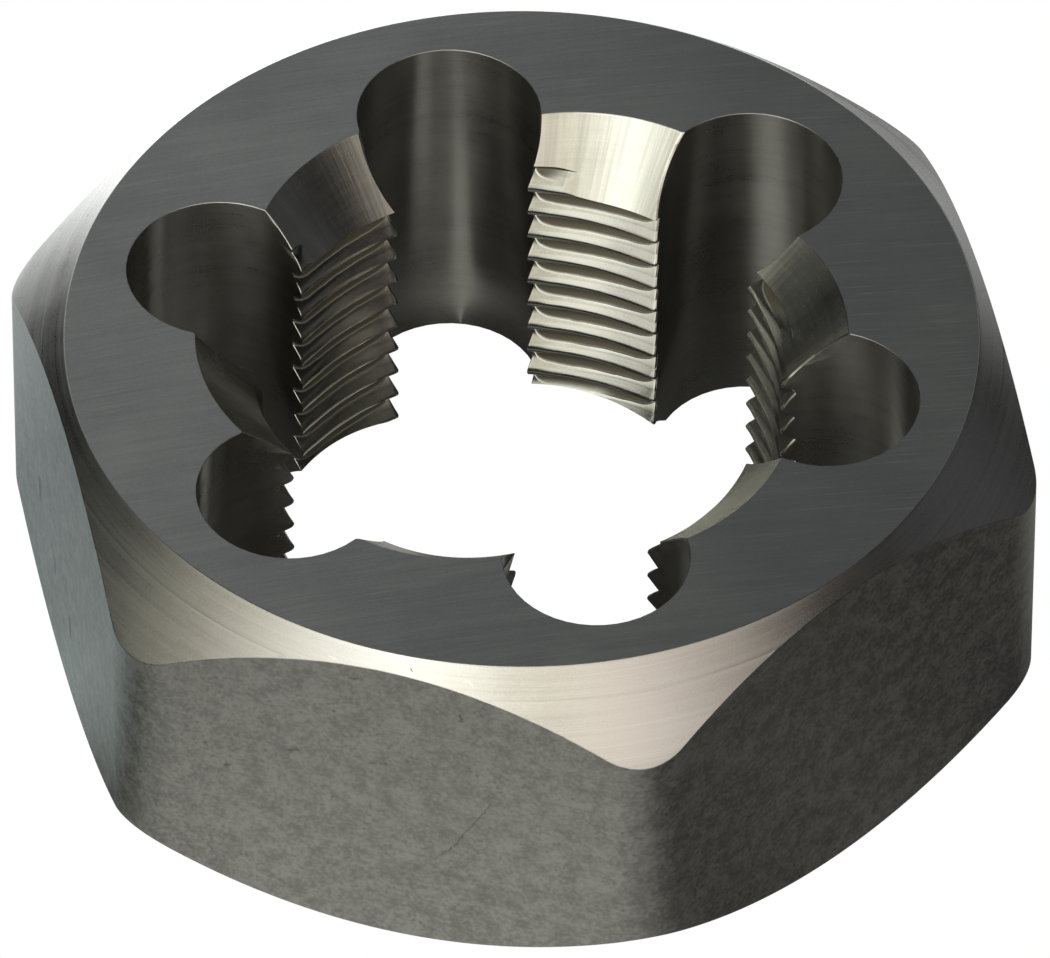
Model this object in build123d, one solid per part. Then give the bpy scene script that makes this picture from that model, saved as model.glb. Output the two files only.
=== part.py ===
"""Hexagon rethreading die: one hardened steel piece with six flutes and six toothed lands.

Millimetres and degrees. +Z is the thread axis, z = 0 is the bottom face. A hexagon
corner points to -Y. The internal thread is right handed: it climbs anticlockwise,
seen from above.
"""
from build123d import *
from math import ceil, cos, floor, pi, radians, sin, tan
import os

# Hexagon body
across_flats = 60.325
thickness = 25.4
corner_radius = 5.0

# Turned faces and their chamfers, angles measured from the face plane. The chamfers are
# slightly crowned cones: the crown is their rise over a straight cone, at mid width.
top_face_diameter = 58.55
top_chamfer_angle = 48.5
bottom_face_diameter = 59.3
bottom_chamfer_angle = 45.0
chamfer_crown = 0.1

# Flutes: round holes on the corner directions that break into the bore
flute_count = 6
flute_diameter = 11.9
flute_circle_diameter = 40.5
first_flute_angle = -90.0

# Internal thread
thread_pitch = 2.1167
thread_major_diameter = 35.175
thread_depth = 1.08
thread_flank_angle = 30.0
thread_root_flat = 0.265
thread_start = 0.064

# Relieved lead at each end: cones set off centre, one for each land and face
top_lead_radius = 13.8
bottom_lead_radius = 13.15
lead_cone_offset = 7.1
lead_cone_half_angle = 45.0
lead_relief_angle = 13.0

# Margin that a cutter reaches past what it cuts
cut_margin = 1.0

# Sizes that follow from the ones above
sides = 6
corner_reach = (across_flats / 2 - corner_radius) / cos(pi / sides) + corner_radius
major_radius = thread_major_diameter / 2
crest_radius = major_radius - thread_depth
pilot_radius = crest_radius - cut_margin
flute_step = 360.0 / flute_count


def on_circle(radius, angle):
    """Return the point in the plane z = 0 at this radius and angle."""
    return Vector(radius * cos(radians(angle)), radius * sin(radians(angle)), 0)


def hexagon_blank():
    """Return the hexagon bar with rounded corners, as thick as the die."""
    outline = RegularPolygon(across_flats / 2, sides, major_radius=False, rotation=180.0 / sides)
    outline = fillet(outline.vertices(), corner_radius)
    return extrude(outline, thickness)


def crowned_chamfer(inner, outer, crown):
    """Return the arc from inner to outer, crowned to its right by this much."""
    along = outer - inner
    right = Vector(along.Z, 0, -along.X).normalized()
    return ThreePointArc(inner, (inner + outer) / 2 + right * crown, outer)


def turned_envelope():
    """Return the turned shape that gives both faces their chamfers."""
    reach = corner_reach + cut_margin
    top_drop = (reach - top_face_diameter / 2) * tan(radians(top_chamfer_angle))
    bottom_rise = (reach - bottom_face_diameter / 2) * tan(radians(bottom_chamfer_angle))
    bottom_inner = Vector(bottom_face_diameter / 2, 0, 0)
    bottom_outer = Vector(reach, 0, bottom_rise)
    top_outer = Vector(reach, 0, thickness - top_drop)
    top_inner = Vector(top_face_diameter / 2, 0, thickness)
    profile = Curve() + [
        Line((0, 0, 0), bottom_inner),
        crowned_chamfer(bottom_inner, bottom_outer, chamfer_crown),
        Line(bottom_outer, top_outer),
        crowned_chamfer(top_outer, top_inner, chamfer_crown),
        Line(top_inner, (0, 0, thickness)),
        Line((0, 0, thickness), (0, 0, 0)),
    ]
    return revolve(make_face(profile), Axis.Z)


def flute_hole(index):
    """Return the drill that cuts one flute right through."""
    centre = on_circle(flute_circle_diameter / 2, first_flute_angle + index * flute_step)
    drill = Cylinder(flute_diameter / 2, thickness + 2 * cut_margin)
    return Pos(centre.X, centre.Y, thickness / 2) * drill


def thread_comb(index):
    """Return the cutter for the teeth of one land.

    A row of thread grooves in the plane of the axis is carried along a helix, from the
    middle of one flute to the middle of the next, at the height that the helix has there.
    """
    start = first_flute_angle + index * flute_step
    lift = (thread_start + 0.5 + start / 360.0) * thread_pitch
    lift -= floor(lift / thread_pitch) * thread_pitch
    half_root = thread_root_flat / 2
    half_mouth = half_root + thread_depth * tan(radians(thread_flank_angle))
    inner = pilot_radius - cut_margin
    grooves = ceil(thickness / thread_pitch) + 3
    heights = [lift + (number - 2) * thread_pitch for number in range(grooves)]
    points = [(inner, 0, heights[0] - half_mouth)]
    for height in heights:
        points.append((crest_radius, 0, height - half_mouth))
        points.append((major_radius, 0, height - half_root))
        points.append((major_radius, 0, height + half_root))
        points.append((crest_radius, 0, height + half_mouth))
    points.append((inner, 0, heights[-1] + half_mouth))
    profile = make_face(Polyline(*points, close=True))
    path = Edge.make_helix(thread_pitch, thread_pitch / flute_count, major_radius)
    comb = Solid.sweep(profile.face(), path, is_frenet=True)
    return Rot(0, 0, start) * comb


def lead_cone(index, at_top):
    """Return the off-centre cone that relieves the lead of one land at one face.

    The cone stands off towards the heel of the land, so the lead is tightest at the
    cutting edge: the anticlockwise edge at the top face, the clockwise one at the bottom.
    """
    land = first_flute_angle + (index + 0.5) * flute_step
    mouth_radius = top_lead_radius if at_top else bottom_lead_radius
    slope = tan(radians(lead_cone_half_angle))
    depth = (mouth_radius + lead_cone_offset - pilot_radius) / slope
    wide = mouth_radius + cut_margin * slope
    narrow = mouth_radius - depth * slope
    height = depth + cut_margin
    if at_top:
        centre = on_circle(lead_cone_offset, land - lead_relief_angle)
        cone = Cone(narrow, wide, height)
        return Pos(centre.X, centre.Y, thickness + cut_margin - height / 2) * cone
    centre = on_circle(lead_cone_offset, land + lead_relief_angle)
    cone = Cone(wide, narrow, height)
    return Pos(centre.X, centre.Y, height / 2 - cut_margin) * cone


def die():
    """Return the finished die as one solid."""
    blank = hexagon_blank() & turned_envelope()
    pilot = Cylinder(pilot_radius, thickness + 2 * cut_margin)
    blank -= Pos(0, 0, thickness / 2) * pilot
    blank -= [flute_hole(index) for index in range(flute_count)]
    blank -= [thread_comb(index) for index in range(flute_count)]
    blank -= [lead_cone(index, True) for index in range(flute_count)]
    blank -= [lead_cone(index, False) for index in range(flute_count)]
    return blank


os.makedirs("parts", exist_ok=True)
body = die().solid()
body.label = "die_body"
export_step(body, "parts/die_body.step")
print("volume", round(body.volume, 1), "valid", body.is_valid, "faces", len(body.faces()))
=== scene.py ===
"""Hexagon rethreading die: the dressed model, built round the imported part.

World units are metres, and every size field below is in millimetres and degrees, in the
frame of the part: +Z is the thread axis, z = 0 is the bottom face, and a hexagon corner
points to -Y.
"""
import logging
import math
from dataclasses import dataclass, field
from enum import IntEnum

import bpy
import numpy as np
from mathutils import Matrix, Vector

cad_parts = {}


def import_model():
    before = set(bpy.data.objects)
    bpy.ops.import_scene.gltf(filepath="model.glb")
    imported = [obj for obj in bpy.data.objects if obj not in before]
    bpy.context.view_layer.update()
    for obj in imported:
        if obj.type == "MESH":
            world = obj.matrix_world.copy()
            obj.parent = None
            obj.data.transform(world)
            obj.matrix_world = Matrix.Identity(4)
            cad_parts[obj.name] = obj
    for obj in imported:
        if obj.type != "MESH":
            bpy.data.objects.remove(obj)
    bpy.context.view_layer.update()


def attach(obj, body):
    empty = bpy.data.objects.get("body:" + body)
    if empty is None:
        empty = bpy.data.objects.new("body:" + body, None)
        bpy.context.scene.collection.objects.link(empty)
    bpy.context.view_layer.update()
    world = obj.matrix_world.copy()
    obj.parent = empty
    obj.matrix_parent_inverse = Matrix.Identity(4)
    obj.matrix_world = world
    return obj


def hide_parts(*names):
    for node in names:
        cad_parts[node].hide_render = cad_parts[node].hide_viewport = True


MM = 0.001
LOG = logging.getLogger("rethreading_die")

# The hexagon's flats, the flutes and the lands: how many, how many degrees apart, and half
# of that in radians.
SIDES = 6
STEP = 360.0 / SIDES
HALF_SIDE = math.pi / SIDES

Array = np.ndarray
Pair = tuple[float, float]
Triple = tuple[float, float, float]
Socket = bpy.types.NodeSocket
Tree = bpy.types.NodeTree


class Finish(IntEnum):
    """The finishes of the die, in the order of its material slots."""

    GROUND_FACE = 0
    SIDE_FLAT = 1
    TURNED_CHAMFER = 2
    FLUTE_WALL = 3
    CUT_THREAD = 4
    TURNED_LEAD = 5


class Band(IntEnum):
    """The bands of the outside wall, from the bottom face up."""

    BOTTOM_CHAMFER = 0
    FLAT = 1
    TOP_CHAMFER = 2


class Mark(IntEnum):
    """What a point of the skin tells its material.

    Its wear, its share of the way from crest to root, its distance in millimetres from
    the nearest end of its land, and 1 where the thread is clear of the leads.
    """

    WEAR = 0
    GROOVE = 1
    LAND_END = 2
    CLEAR = 3


# ---------------------------------------------------------------- shape helpers


def soft_ramp(x: Array, half: float) -> Array:
    """Return a ramp with a rounded foot.

    Nothing below -half, x above +half, and (x + half)^2 / (4 half) between them.

    Args:
        x: Distance past the corner of the ramp.
        half: Half the width of the rounding.

    Returns:
        The height of the ramp.
    """
    return np.where(x > half, x, np.where(x < -half, 0.0, (x + half) ** 2 / (4.0 * half)))


def smooth_step(t: Array) -> Array:
    """Return 3t^2 - 2t^3, for t held between 0 and 1."""
    t = np.clip(t, 0.0, 1.0)
    return t * t * (3.0 - 2.0 * t)


def polar(radius: Array, angle: Array, height: Array) -> Array:
    """Return points from a radius, an angle in radians and a height."""
    parts = radius * np.cos(angle), radius * np.sin(angle), height
    return np.stack(np.broadcast_arrays(*parts), axis=-1)


def closed(grid: Array) -> Array:
    """Return a grid with its first column once more after its last."""
    return np.concatenate([grid, grid[:, :1]], axis=1)


def cell_corners(grid: Array) -> Array:
    """Return the corners (i, j), (i, j + 1), (i + 1, j + 1) and (i + 1, j) of every cell."""
    return np.stack([grid[:-1, :-1], grid[:-1, 1:], grid[1:, 1:], grid[1:, :-1]], axis=2)


@dataclass
class Sheet:
    """Triangles of one skin: points with their marks, corners with their lay, and finishes."""

    points: Array
    marks: Array
    corners: Array
    lay: Array
    finish: Array
    flat: Array


def grid_sheet(
    points: Array,
    lay: Array,
    marks: Array,
    finish: Array,
    flat: Array,
    outward: bool,
    crossed: Array,
    keep: Array,
) -> Sheet:
    """Turn a grid of points that closes on itself sideways into triangles.

    Point (i, j) is joined to (i, j + 1), (i + 1, j + 1) and (i + 1, j), and the last
    column to the first. The cell is cut from (i, j) to (i + 1, j + 1), or the other way
    where it is crossed.

    Args:
        points: Rows by columns by 3.
        lay: Rows by columns + 1 by 2, the pattern coordinates, with the seam column twice.
        marks: Rows by columns by marks.
        finish: Rows - 1 by columns by 2, the finish of each triangle.
        flat: Rows - 1 by columns, true where a cell belongs to a plane.
        outward: True if the skin is seen from outside with its columns to the right.
        crossed: Rows - 1 by columns, true where a cell is cut the other way.
        keep: Rows - 1 by columns, true where there is a cell at all.

    Returns:
        The sheet.
    """
    rows, columns = points.shape[:2]
    index = closed(np.arange(rows * columns).reshape(rows, columns))
    quad = cell_corners(index).reshape(-1, 4)
    quad_lay = cell_corners(lay).reshape(-1, 4, 2)
    plain, other = np.array([[0, 1, 2], [0, 2, 3]]), np.array([[0, 1, 3], [1, 2, 3]])
    order = np.where(crossed.reshape(-1)[:, None, None], other, plain)
    order = order if outward else order[:, :, ::-1]
    cell = np.arange(len(quad))[:, None, None]
    kept = keep.reshape(-1)
    return Sheet(
        points=points.reshape(-1, 3),
        marks=marks.reshape(-1, len(Mark)),
        corners=quad[cell, order][kept].reshape(-1, 3),
        lay=quad_lay[cell, order][kept].reshape(-1, 3, 2),
        finish=finish.reshape(-1, 2)[kept].reshape(-1),
        flat=np.repeat(flat.reshape(-1)[kept], 2),
    )


def zip_columns(left: Array, right: Array) -> Array:
    """Return the triangles between two columns of rising heights, seen with the axis behind.

    Every step of the left column is joined to the right point nearest to its middle, and
    every step of the right column to the left point that the same rule leaves open.

    Args:
        left: Rising heights of the left column.
        right: Rising heights of the right column.

    Returns:
        Corner numbers; the right column is counted on from the left one.
    """
    count = len(left)
    mid_left, mid_right = (left[1:] + left[:-1]) / 2, (right[1:] + right[:-1]) / 2
    tip = count + np.searchsorted(mid_right, mid_left)
    foot = np.searchsorted(mid_left, mid_right, side="right")
    step_left, step_right = np.arange(count - 1), count + np.arange(len(right) - 1)
    fan_left = np.stack([step_left, step_left + 1, tip], axis=-1)
    fan_right = np.stack([step_right, foot, step_right + 1], axis=-1)
    return np.concatenate([fan_left, fan_right])


def zip_rings(inner: Array, outer: Array) -> Array:
    """Return the triangles between two rings of points that both run anticlockwise.

    Every edge of the inner ring is joined to the outer point nearest ahead of its middle
    angle, and every edge of the outer ring to the inner point that the same rule leaves
    open, so the band closes with one triangle for each edge.

    Args:
        inner: Rising angles of the inner ring, within one turn.
        outer: Rising angles of the outer ring, within one turn.

    Returns:
        Corner numbers; the outer ring is counted on from the inner one.
    """
    count_in, count_out = len(inner), len(outer)
    mid_in = (inner + np.append(inner[1:], inner[0] + 2 * np.pi)) / 2
    mid_out = (outer + np.append(outer[1:], outer[0] + 2 * np.pi)) / 2
    base = np.searchsorted(mid_out, mid_in - 2 * np.pi * (mid_in >= mid_out[-1])) % count_out
    tip = np.searchsorted(mid_in, mid_out - 2 * np.pi * (mid_out >= mid_in[-1])) % count_in
    number_in, number_out = np.arange(count_in), np.arange(count_out)
    next_in, next_out = (number_in + 1) % count_in, (number_out + 1) % count_out
    fan_in = np.stack([number_in, count_in + base, next_in], axis=-1)
    fan_out = np.stack([tip, count_in + number_out, count_in + next_out], axis=-1)
    return np.concatenate([fan_in, fan_out])


# ---------------------------------------------------------------- the die


@dataclass
class HexWall:
    """The outside of the die: six flats with rounded corners between two turned chamfers."""

    # The blank
    across_flats: float = 60.325
    thickness: float = 25.4
    corner_radius: float = 5.0
    # The turned faces and their chamfers, with the crown that the chamfers have at mid width
    top_radius: float = 58.55 / 2
    top_angle: float = 48.5
    bottom_radius: float = 59.3 / 2
    bottom_angle: float = 45.0
    crown: float = 0.1
    reach_margin: float = 1.0
    # Columns round the outline, and half the angle of a corner, seen from the axis
    first_flat: float = -120.0
    flat_columns: int = 64
    corner_columns: int = 24
    corner_half_angle: float = 4.3
    # Radius of the four edges, from the bottom face up
    edge_rounding: tuple[float, float, float, float] = (0.12, 0.25, 0.2, 0.12)
    rows_per_edge: int = 5
    # Rows of both chamfers: distance from the face's edge, and the least gap between them
    chamfer_circles: tuple[float, ...] = (
        0.18, 0.4, 0.7, 1.0, 1.3, 1.42, 1.47, 1.505, 1.54,
        1.575, 1.62, 1.75, 2.1, 2.6, 3.1, 3.6, 4.1,
    )
    plain_circles: tuple[float, ...] = (0.2, 0.6, 1.1, 1.6, 2.2, 2.9, 3.7)
    circle_gap: float = 0.006
    # The fine groove turned into the top chamfer
    groove_circle: float = 1.52
    groove_depth: float = 0.02
    groove_width: float = 0.045
    flat_rows: int = 8
    # Scale of the pattern coordinates, along and across the chamfers' lines
    line_radius: float = 30.0
    line_spread: float = 1.3

    def outline(self) -> tuple[Array, Array, Array]:
        """Return the outline of the hexagon bar.

        On a flat, the radius is the half width over the cosine of the angle from its
        middle; on a corner, points lie on the corner's own arc.

        Returns:
            The angle, the radius and the distance run along the outline, with the first
            point repeated at the end.
        """
        half = self.across_flats / 2
        inset = (half - self.corner_radius) / math.cos(HALF_SIDE)
        end = (half - self.corner_radius) * math.tan(HALF_SIDE)
        along = np.linspace(-end, end, self.flat_columns, endpoint=False)
        flat_angle, flat_radius = np.arctan2(along, half), np.hypot(along, half)
        turn = np.linspace(-HALF_SIDE, HALF_SIDE, self.corner_columns, endpoint=False)
        arc_x = inset + self.corner_radius * np.cos(turn)
        arc_y = self.corner_radius * np.sin(turn)
        corner_angle = np.arctan2(arc_y, arc_x) + HALF_SIDE
        angle = np.concatenate([flat_angle, corner_angle])
        radius = np.concatenate([flat_radius, np.hypot(arc_x, arc_y)])
        start = np.radians(self.first_flat) + np.arange(SIDES)[:, None] * (2 * HALF_SIDE)
        angle = (start + angle).reshape(-1)
        radius = np.tile(radius, SIDES)
        angle = np.append(angle, angle[0] + 2 * math.pi)
        radius = np.append(radius, radius[0])
        step = np.hypot(np.diff(radius * np.cos(angle)), np.diff(radius * np.sin(angle)))
        return angle, radius, np.concatenate([[0.0], np.cumsum(step)])

    def chamfer_height(self, radius: Array, top: bool) -> Array:
        """Return the height of a chamfer above the bottom face.

        A straight cone from the face's edge, with a crown of 4 t (1 - t) across it. The
        top one has a fine groove, whose depth is a bell curve across it.

        Args:
            radius: Distance from the axis.
            top: True for the top chamfer.

        Returns:
            The height.
        """
        face = self.top_radius if top else self.bottom_radius
        slope = math.radians(self.top_angle if top else self.bottom_angle)
        inset = (self.across_flats / 2 - self.corner_radius) / math.cos(HALF_SIDE)
        reach = inset + self.corner_radius + self.reach_margin
        t = np.clip((radius - face) / (reach - face), 0.0, 1.0)
        drop = (radius - face) * math.tan(slope) - self.crown * 4 * t * (1 - t) / math.cos(slope)
        off = (radius - face - self.groove_circle) / self.groove_width
        groove = self.groove_depth * np.exp(-(off**2))
        return self.thickness - drop - groove if top else drop

    def profile(self, radius: Array) -> tuple[Array, Array, Array, Array]:
        """Return the rows of the wall at each column, from the bottom face to the top one.

        Each of the four edges is rounded by a quadratic arc that starts and ends the
        rounding's tangent length away from it, along the chamfer, the flat or the face.

        Args:
            radius: The outline's radius at each column.

        Returns:
            Rows by columns of radius and height, and for each row its wear and its band.
        """
        low, high = math.radians(self.bottom_angle), math.radians(self.top_angle)
        turn = np.array([low, math.pi / 2 - low, math.pi / 2 - high, high])
        tangent = np.array(self.edge_rounding) * np.tan(turn / 2)
        ones = np.ones_like(radius)
        edge_r = [self.bottom_radius * ones, radius, radius, self.top_radius * ones]
        edge_z = [
            0 * ones,
            self.chamfer_height(radius, False),
            self.chamfer_height(radius, True),
            self.thickness * ones,
        ]
        before = [
            (edge_r[0] - tangent[0], edge_z[0]),
            self.on_chamfer(radius - tangent[1] * math.cos(low), False),
            (radius, edge_z[2] - tangent[2]),
            self.on_chamfer(edge_r[3] + tangent[3] * math.cos(high), True),
        ]
        after = [
            self.on_chamfer(edge_r[0] + tangent[0] * math.cos(low), False),
            (radius, edge_z[1] + tangent[1]),
            self.on_chamfer(radius - tangent[2] * math.cos(high), True),
            (edge_r[3] - tangent[3], edge_z[3]),
        ]
        t = np.linspace(0, 1, self.rows_per_edge)[:, None]
        rows_r, rows_z, wear, band = [], [], [], []
        for edge in range(4):
            a, b = before[edge], after[edge]
            rows_r.append((1 - t) ** 2 * a[0] + 2 * t * (1 - t) * edge_r[edge] + t * t * b[0])
            rows_z.append((1 - t) ** 2 * a[1] + 2 * t * (1 - t) * edge_z[edge] + t * t * b[1])
            wear.append(1 - np.abs(2 * t[:, 0] - 1))
            band.append(np.where(t[:, 0] < 0.5, max(edge - 1, 0), min(edge, len(Band) - 1)))
            if edge < len(Band):
                r, z = self.band_rows(Band(edge), b, before[edge + 1])
                rows_r.append(r)
                rows_z.append(z)
                wear.append(np.zeros(len(r)))
                band.append(np.full(len(r), edge))
        rows = (np.concatenate(part) for part in (rows_r, rows_z, wear, band))
        return tuple(rows)

    def band_rows(
        self, band: Band, start: tuple[Array, Array], end: tuple[Array, Array]
    ) -> tuple[Array, Array]:
        """Return the rows of one band, between the roundings of its two edges.

        The flat's rows are spread evenly. A chamfer's lie on circles at fixed distances
        from the face's edge, held inside the rounding of its outer edge.

        Args:
            band: The band.
            start: Radius and height where the rounding below the band ends.
            end: Radius and height where the rounding above the band starts.

        Returns:
            Rows by columns of radius and height.
        """
        if band == Band.FLAT:
            s = np.arange(1, self.flat_rows + 1)[:, None] / (self.flat_rows + 1)
            return start[0] + s * (end[0] - start[0]), start[1] + s * (end[1] - start[1])
        top = band == Band.TOP_CHAMFER
        circles = np.array(self.chamfer_circles if top else self.plain_circles)[:, None]
        inner, outer = (self.top_radius, start[0]) if top else (self.bottom_radius, end[0])
        left = np.arange(len(circles), 0, -1)[:, None]
        held = np.minimum(inner + circles, outer - self.circle_gap * left)
        r = held[::-1] if top else held
        return r, self.chamfer_height(r, top)

    def on_chamfer(self, radius: Array, top: bool) -> tuple[Array, Array]:
        """Return the point of a chamfer at this radius, as radius and height."""
        return radius, self.chamfer_height(radius, top)

    def build(self) -> tuple[Sheet, Array, Array]:
        """Return the wall's sheet and its first and last ring of points.

        Returns:
            The sheet, the ring at the bottom face and the ring at the top one.
        """
        angle, radius, run = self.outline()
        r, z, wear, band = self.profile(radius)
        points = polar(r, angle, z)
        band_cells = np.minimum(band[:-1], band[1:])[:, None] * np.ones((1, len(angle) - 1), int)
        finishes = int(Finish.SIDE_FLAT), int(Finish.TURNED_CHAMFER)
        finish = np.where(band_cells == Band.FLAT, *finishes)
        in_flat = band == Band.FLAT
        across = np.where(in_flat[:, None], z, r * self.line_spread)
        along = np.where(in_flat[:, None], run, angle * self.line_radius)
        lay = np.stack([along, across], axis=-1)
        from_corner = np.abs(np.degrees(angle[:-1]) % STEP - STEP / 2)
        plane = in_flat[:-1] & in_flat[1:] & (wear[:-1] + wear[1:] < 0.01)
        flat = plane[:, None] & (from_corner > self.corner_half_angle)[None, :]
        marks = np.zeros((len(wear), len(angle) - 1, len(Mark)))
        marks[..., Mark.WEAR] = wear[:, None]
        finish = np.repeat(finish[..., None], 2, axis=2)
        crossed, keep = np.zeros_like(flat), np.ones_like(flat)
        sheet = grid_sheet(points[:, :-1], lay, marks, finish, flat, True, crossed, keep)
        return sheet, points[0, :-1], points[-1, :-1]


@dataclass
class ThreadForm:
    """The internal thread, right handed, with a rounded foot and tip to each tooth."""

    # The cut thread
    pitch: float = 2.1167
    major_radius: float = 35.175 / 2
    depth: float = 1.08
    flank_angle: float = 30.0
    root_flat: float = 0.265
    start: float = 0.064
    # Rounding of the root, and of the crest at the heel and at the cutting edge; every span
    # is in degrees from the land's middle, towards the cutting edge at the top
    root_rounding: float = 0.05
    crest_rounding: Pair = (0.14, 0.3)
    rounding_span: Pair = (-4.0, 12.0)
    # How far the crest falls back towards the heel
    heel_relief: float = 0.08
    relief_span: Pair = (6.0, -14.0)
    # The heel's rounded corner: where it starts, its depth, its width and where it stops
    heel_corner: Pair = (13.6, 0.24)
    heel_corner_width: float = 2.0
    heel_limit: float = 1.2
    # The crest's lower side at the cutting edge: where its slope starts and how steep it is
    edge_corner: Pair = (9.5, 0.2)
    edge_corner_width: float = 5.0
    lower_start: float = 0.8
    # The crest's upper side: its slope, and the height where that starts at both ends
    crest_slope: float = 0.8
    slope_start: Pair = (-0.24, 0.02)
    slope_span: Pair = (-14.0, 14.0)
    slope_rounding: float = 0.08
    least_depth: float = 0.05
    # Rows of the mesh: heights from the crest's edge, and how many a near flank gets
    tip_rows: tuple[float, ...] = (-0.21, -0.115, -0.04, 0.04, 0.125)
    fine_rows: int = 6

    @property
    def crest_radius(self) -> float:
        """Radius of the crests."""
        return self.major_radius - self.depth

    @property
    def half_crest(self) -> float:
        """Half the width of a crest."""
        mouth = self.root_flat / 2 + self.depth * math.tan(math.radians(self.flank_angle))
        return self.pitch / 2 - mouth

    def offset(self, angle: Array) -> Array:
        """Return the height of the crest centre nearest to z = 0 at a land's middle angle."""
        lift = self.start + angle / 360.0
        return (lift - np.round(lift)) * self.pitch

    def climb(self, angle: Array) -> Array:
        """Return the height that the thread gains over this angle."""
        return self.pitch * angle / 360.0

    def above(self, z: Array, angle: Array) -> Array:
        """Return the height above the nearest crest's middle, which climbs one pitch a turn."""
        turns = z / self.pitch - self.start - angle / 360.0
        return (turns - np.round(turns)) * self.pitch

    def away(self, z: Array, angle: Array) -> Array:
        """Return the distance along the axis from the middle of the nearest crest."""
        return np.abs(self.above(z, angle))

    def radius(self, z: Array, angle: Array, from_middle: Array) -> Array:
        """Return the radius of the thread's surface.

        The root less a ramp up the flank, cut off at the crest by a second ramp; both
        ramps have rounded feet. The crest's rounding grows towards the cutting edge, and
        its lower side slopes back a little there; its upper side slopes back everywhere,
        from further down towards the heel. The crest falls back by the relief towards the
        heel, and rounds off at the heel's corner with the square of the angle.

        Args:
            z: Height.
            angle: Angle in degrees.
            from_middle: Degrees from the land's middle.

        Returns:
            The radius.
        """
        slope = 1 / math.tan(math.radians(self.flank_angle))
        foot = self.pitch / 2 - self.root_flat / 2
        climb = soft_ramp(foot - self.away(z, angle), self.root_rounding)
        flank = self.major_radius - climb * slope
        near, far = self.relief_span
        fallen = smooth_step((near - from_middle) / (near - far))
        crest = self.crest_radius + self.heel_relief * fallen
        start, depth = self.heel_corner
        corner = np.clip((-from_middle - start) / self.heel_corner_width, 0.0, self.heel_limit)
        crest = crest + depth * corner * corner
        start, steepest = self.edge_corner
        steep = steepest * smooth_step((from_middle - start) / self.edge_corner_width)
        above = self.above(z, angle)
        lower = np.maximum(self.half_crest * self.lower_start - above, 0.0)
        start = self.between(self.slope_start, from_middle, *self.slope_span)
        upper = soft_ramp(above - start, self.slope_rounding)
        crest = crest + steep * lower + self.crest_slope * upper
        crest = np.minimum(crest, self.major_radius - self.least_depth)
        rounding = self.between(self.crest_rounding, from_middle, *self.rounding_span)
        return crest + soft_ramp(flank - crest, rounding)

    def between(self, ends: Pair, from_middle: Array, low: float, high: float) -> Array:
        """Return a value that goes smoothly from one end to the other over these degrees."""
        heel, edge = ends
        return heel + (edge - heel) * smooth_step((from_middle - low) / (high - low))

    def groove_share(self, z: Array, angle: Array) -> Array:
        """Return how far down a flank a point is: 0 at the crest's edge and 1 at the root."""
        root = self.pitch / 2 - self.root_flat / 2
        return np.clip((self.away(z, angle) - self.half_crest) / (root - self.half_crest), 0.0, 1.0)

    def row_offsets(self, low: float, high: float, fine_from: float) -> Array:
        """Return the heights of rows from a crest, closest where the tooth turns.

        Args:
            low: Lowest row.
            high: Highest row.
            fine_from: Height above which the flanks get more rows.

        Returns:
            Rising heights, counted from a crest centre.
        """
        foot, r = self.pitch / 2 - self.root_flat / 2, self.root_rounding
        tip_rows = self.half_crest + np.array(self.tip_rows)
        foot_rows = foot + np.array([-r, -r / 3, r / 3, r])
        plain = np.concatenate([[0.0], tip_rows, foot_rows, [self.pitch / 2]])
        flank = np.linspace(tip_rows[-1], foot - r, self.fine_rows)[1:-1]
        fine = np.concatenate([[0.0], tip_rows, flank, foot_rows, [self.pitch / 2]])
        first, last = math.floor(low / self.pitch), math.ceil(high / self.pitch)
        parts = []
        for centre in np.arange(first, last + 1) * self.pitch:
            use = fine if centre > fine_from else plain
            parts.append(centre + np.concatenate([-use[::-1], use[1:-1]]))
        rows = np.concatenate(parts)
        return rows[(rows >= low) & (rows <= high)]


@dataclass
class LeadCone:
    """The lead of every land at one face: a 45 degree cone set off towards the heel."""

    mouth_radius: float
    offset: float
    relief: float
    face: float
    downwards: bool

    def radius(self, z: Array, angle: Array) -> Array:
        """Return the radius of the cone's surface round the die's axis.

        A circle of the cone's radius at this height, its centre set off from the axis:
        offset x cos(a) + sqrt(r^2 - offset^2 sin^2(a)).

        Args:
            z: Height.
            angle: Degrees from the land's middle.

        Returns:
            The radius, or 0 where the cone doesn't reach.
        """
        depth = self.face - z if self.downwards else z - self.face
        r = self.mouth_radius - depth
        a = np.radians(angle - self.relief)
        inside = r * r - (self.offset * np.sin(a)) ** 2
        found = self.offset * np.cos(a) + np.sqrt(np.maximum(inside, 0.0))
        return np.where((r > 0) & (inside > 0), found, 0.0)


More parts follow.
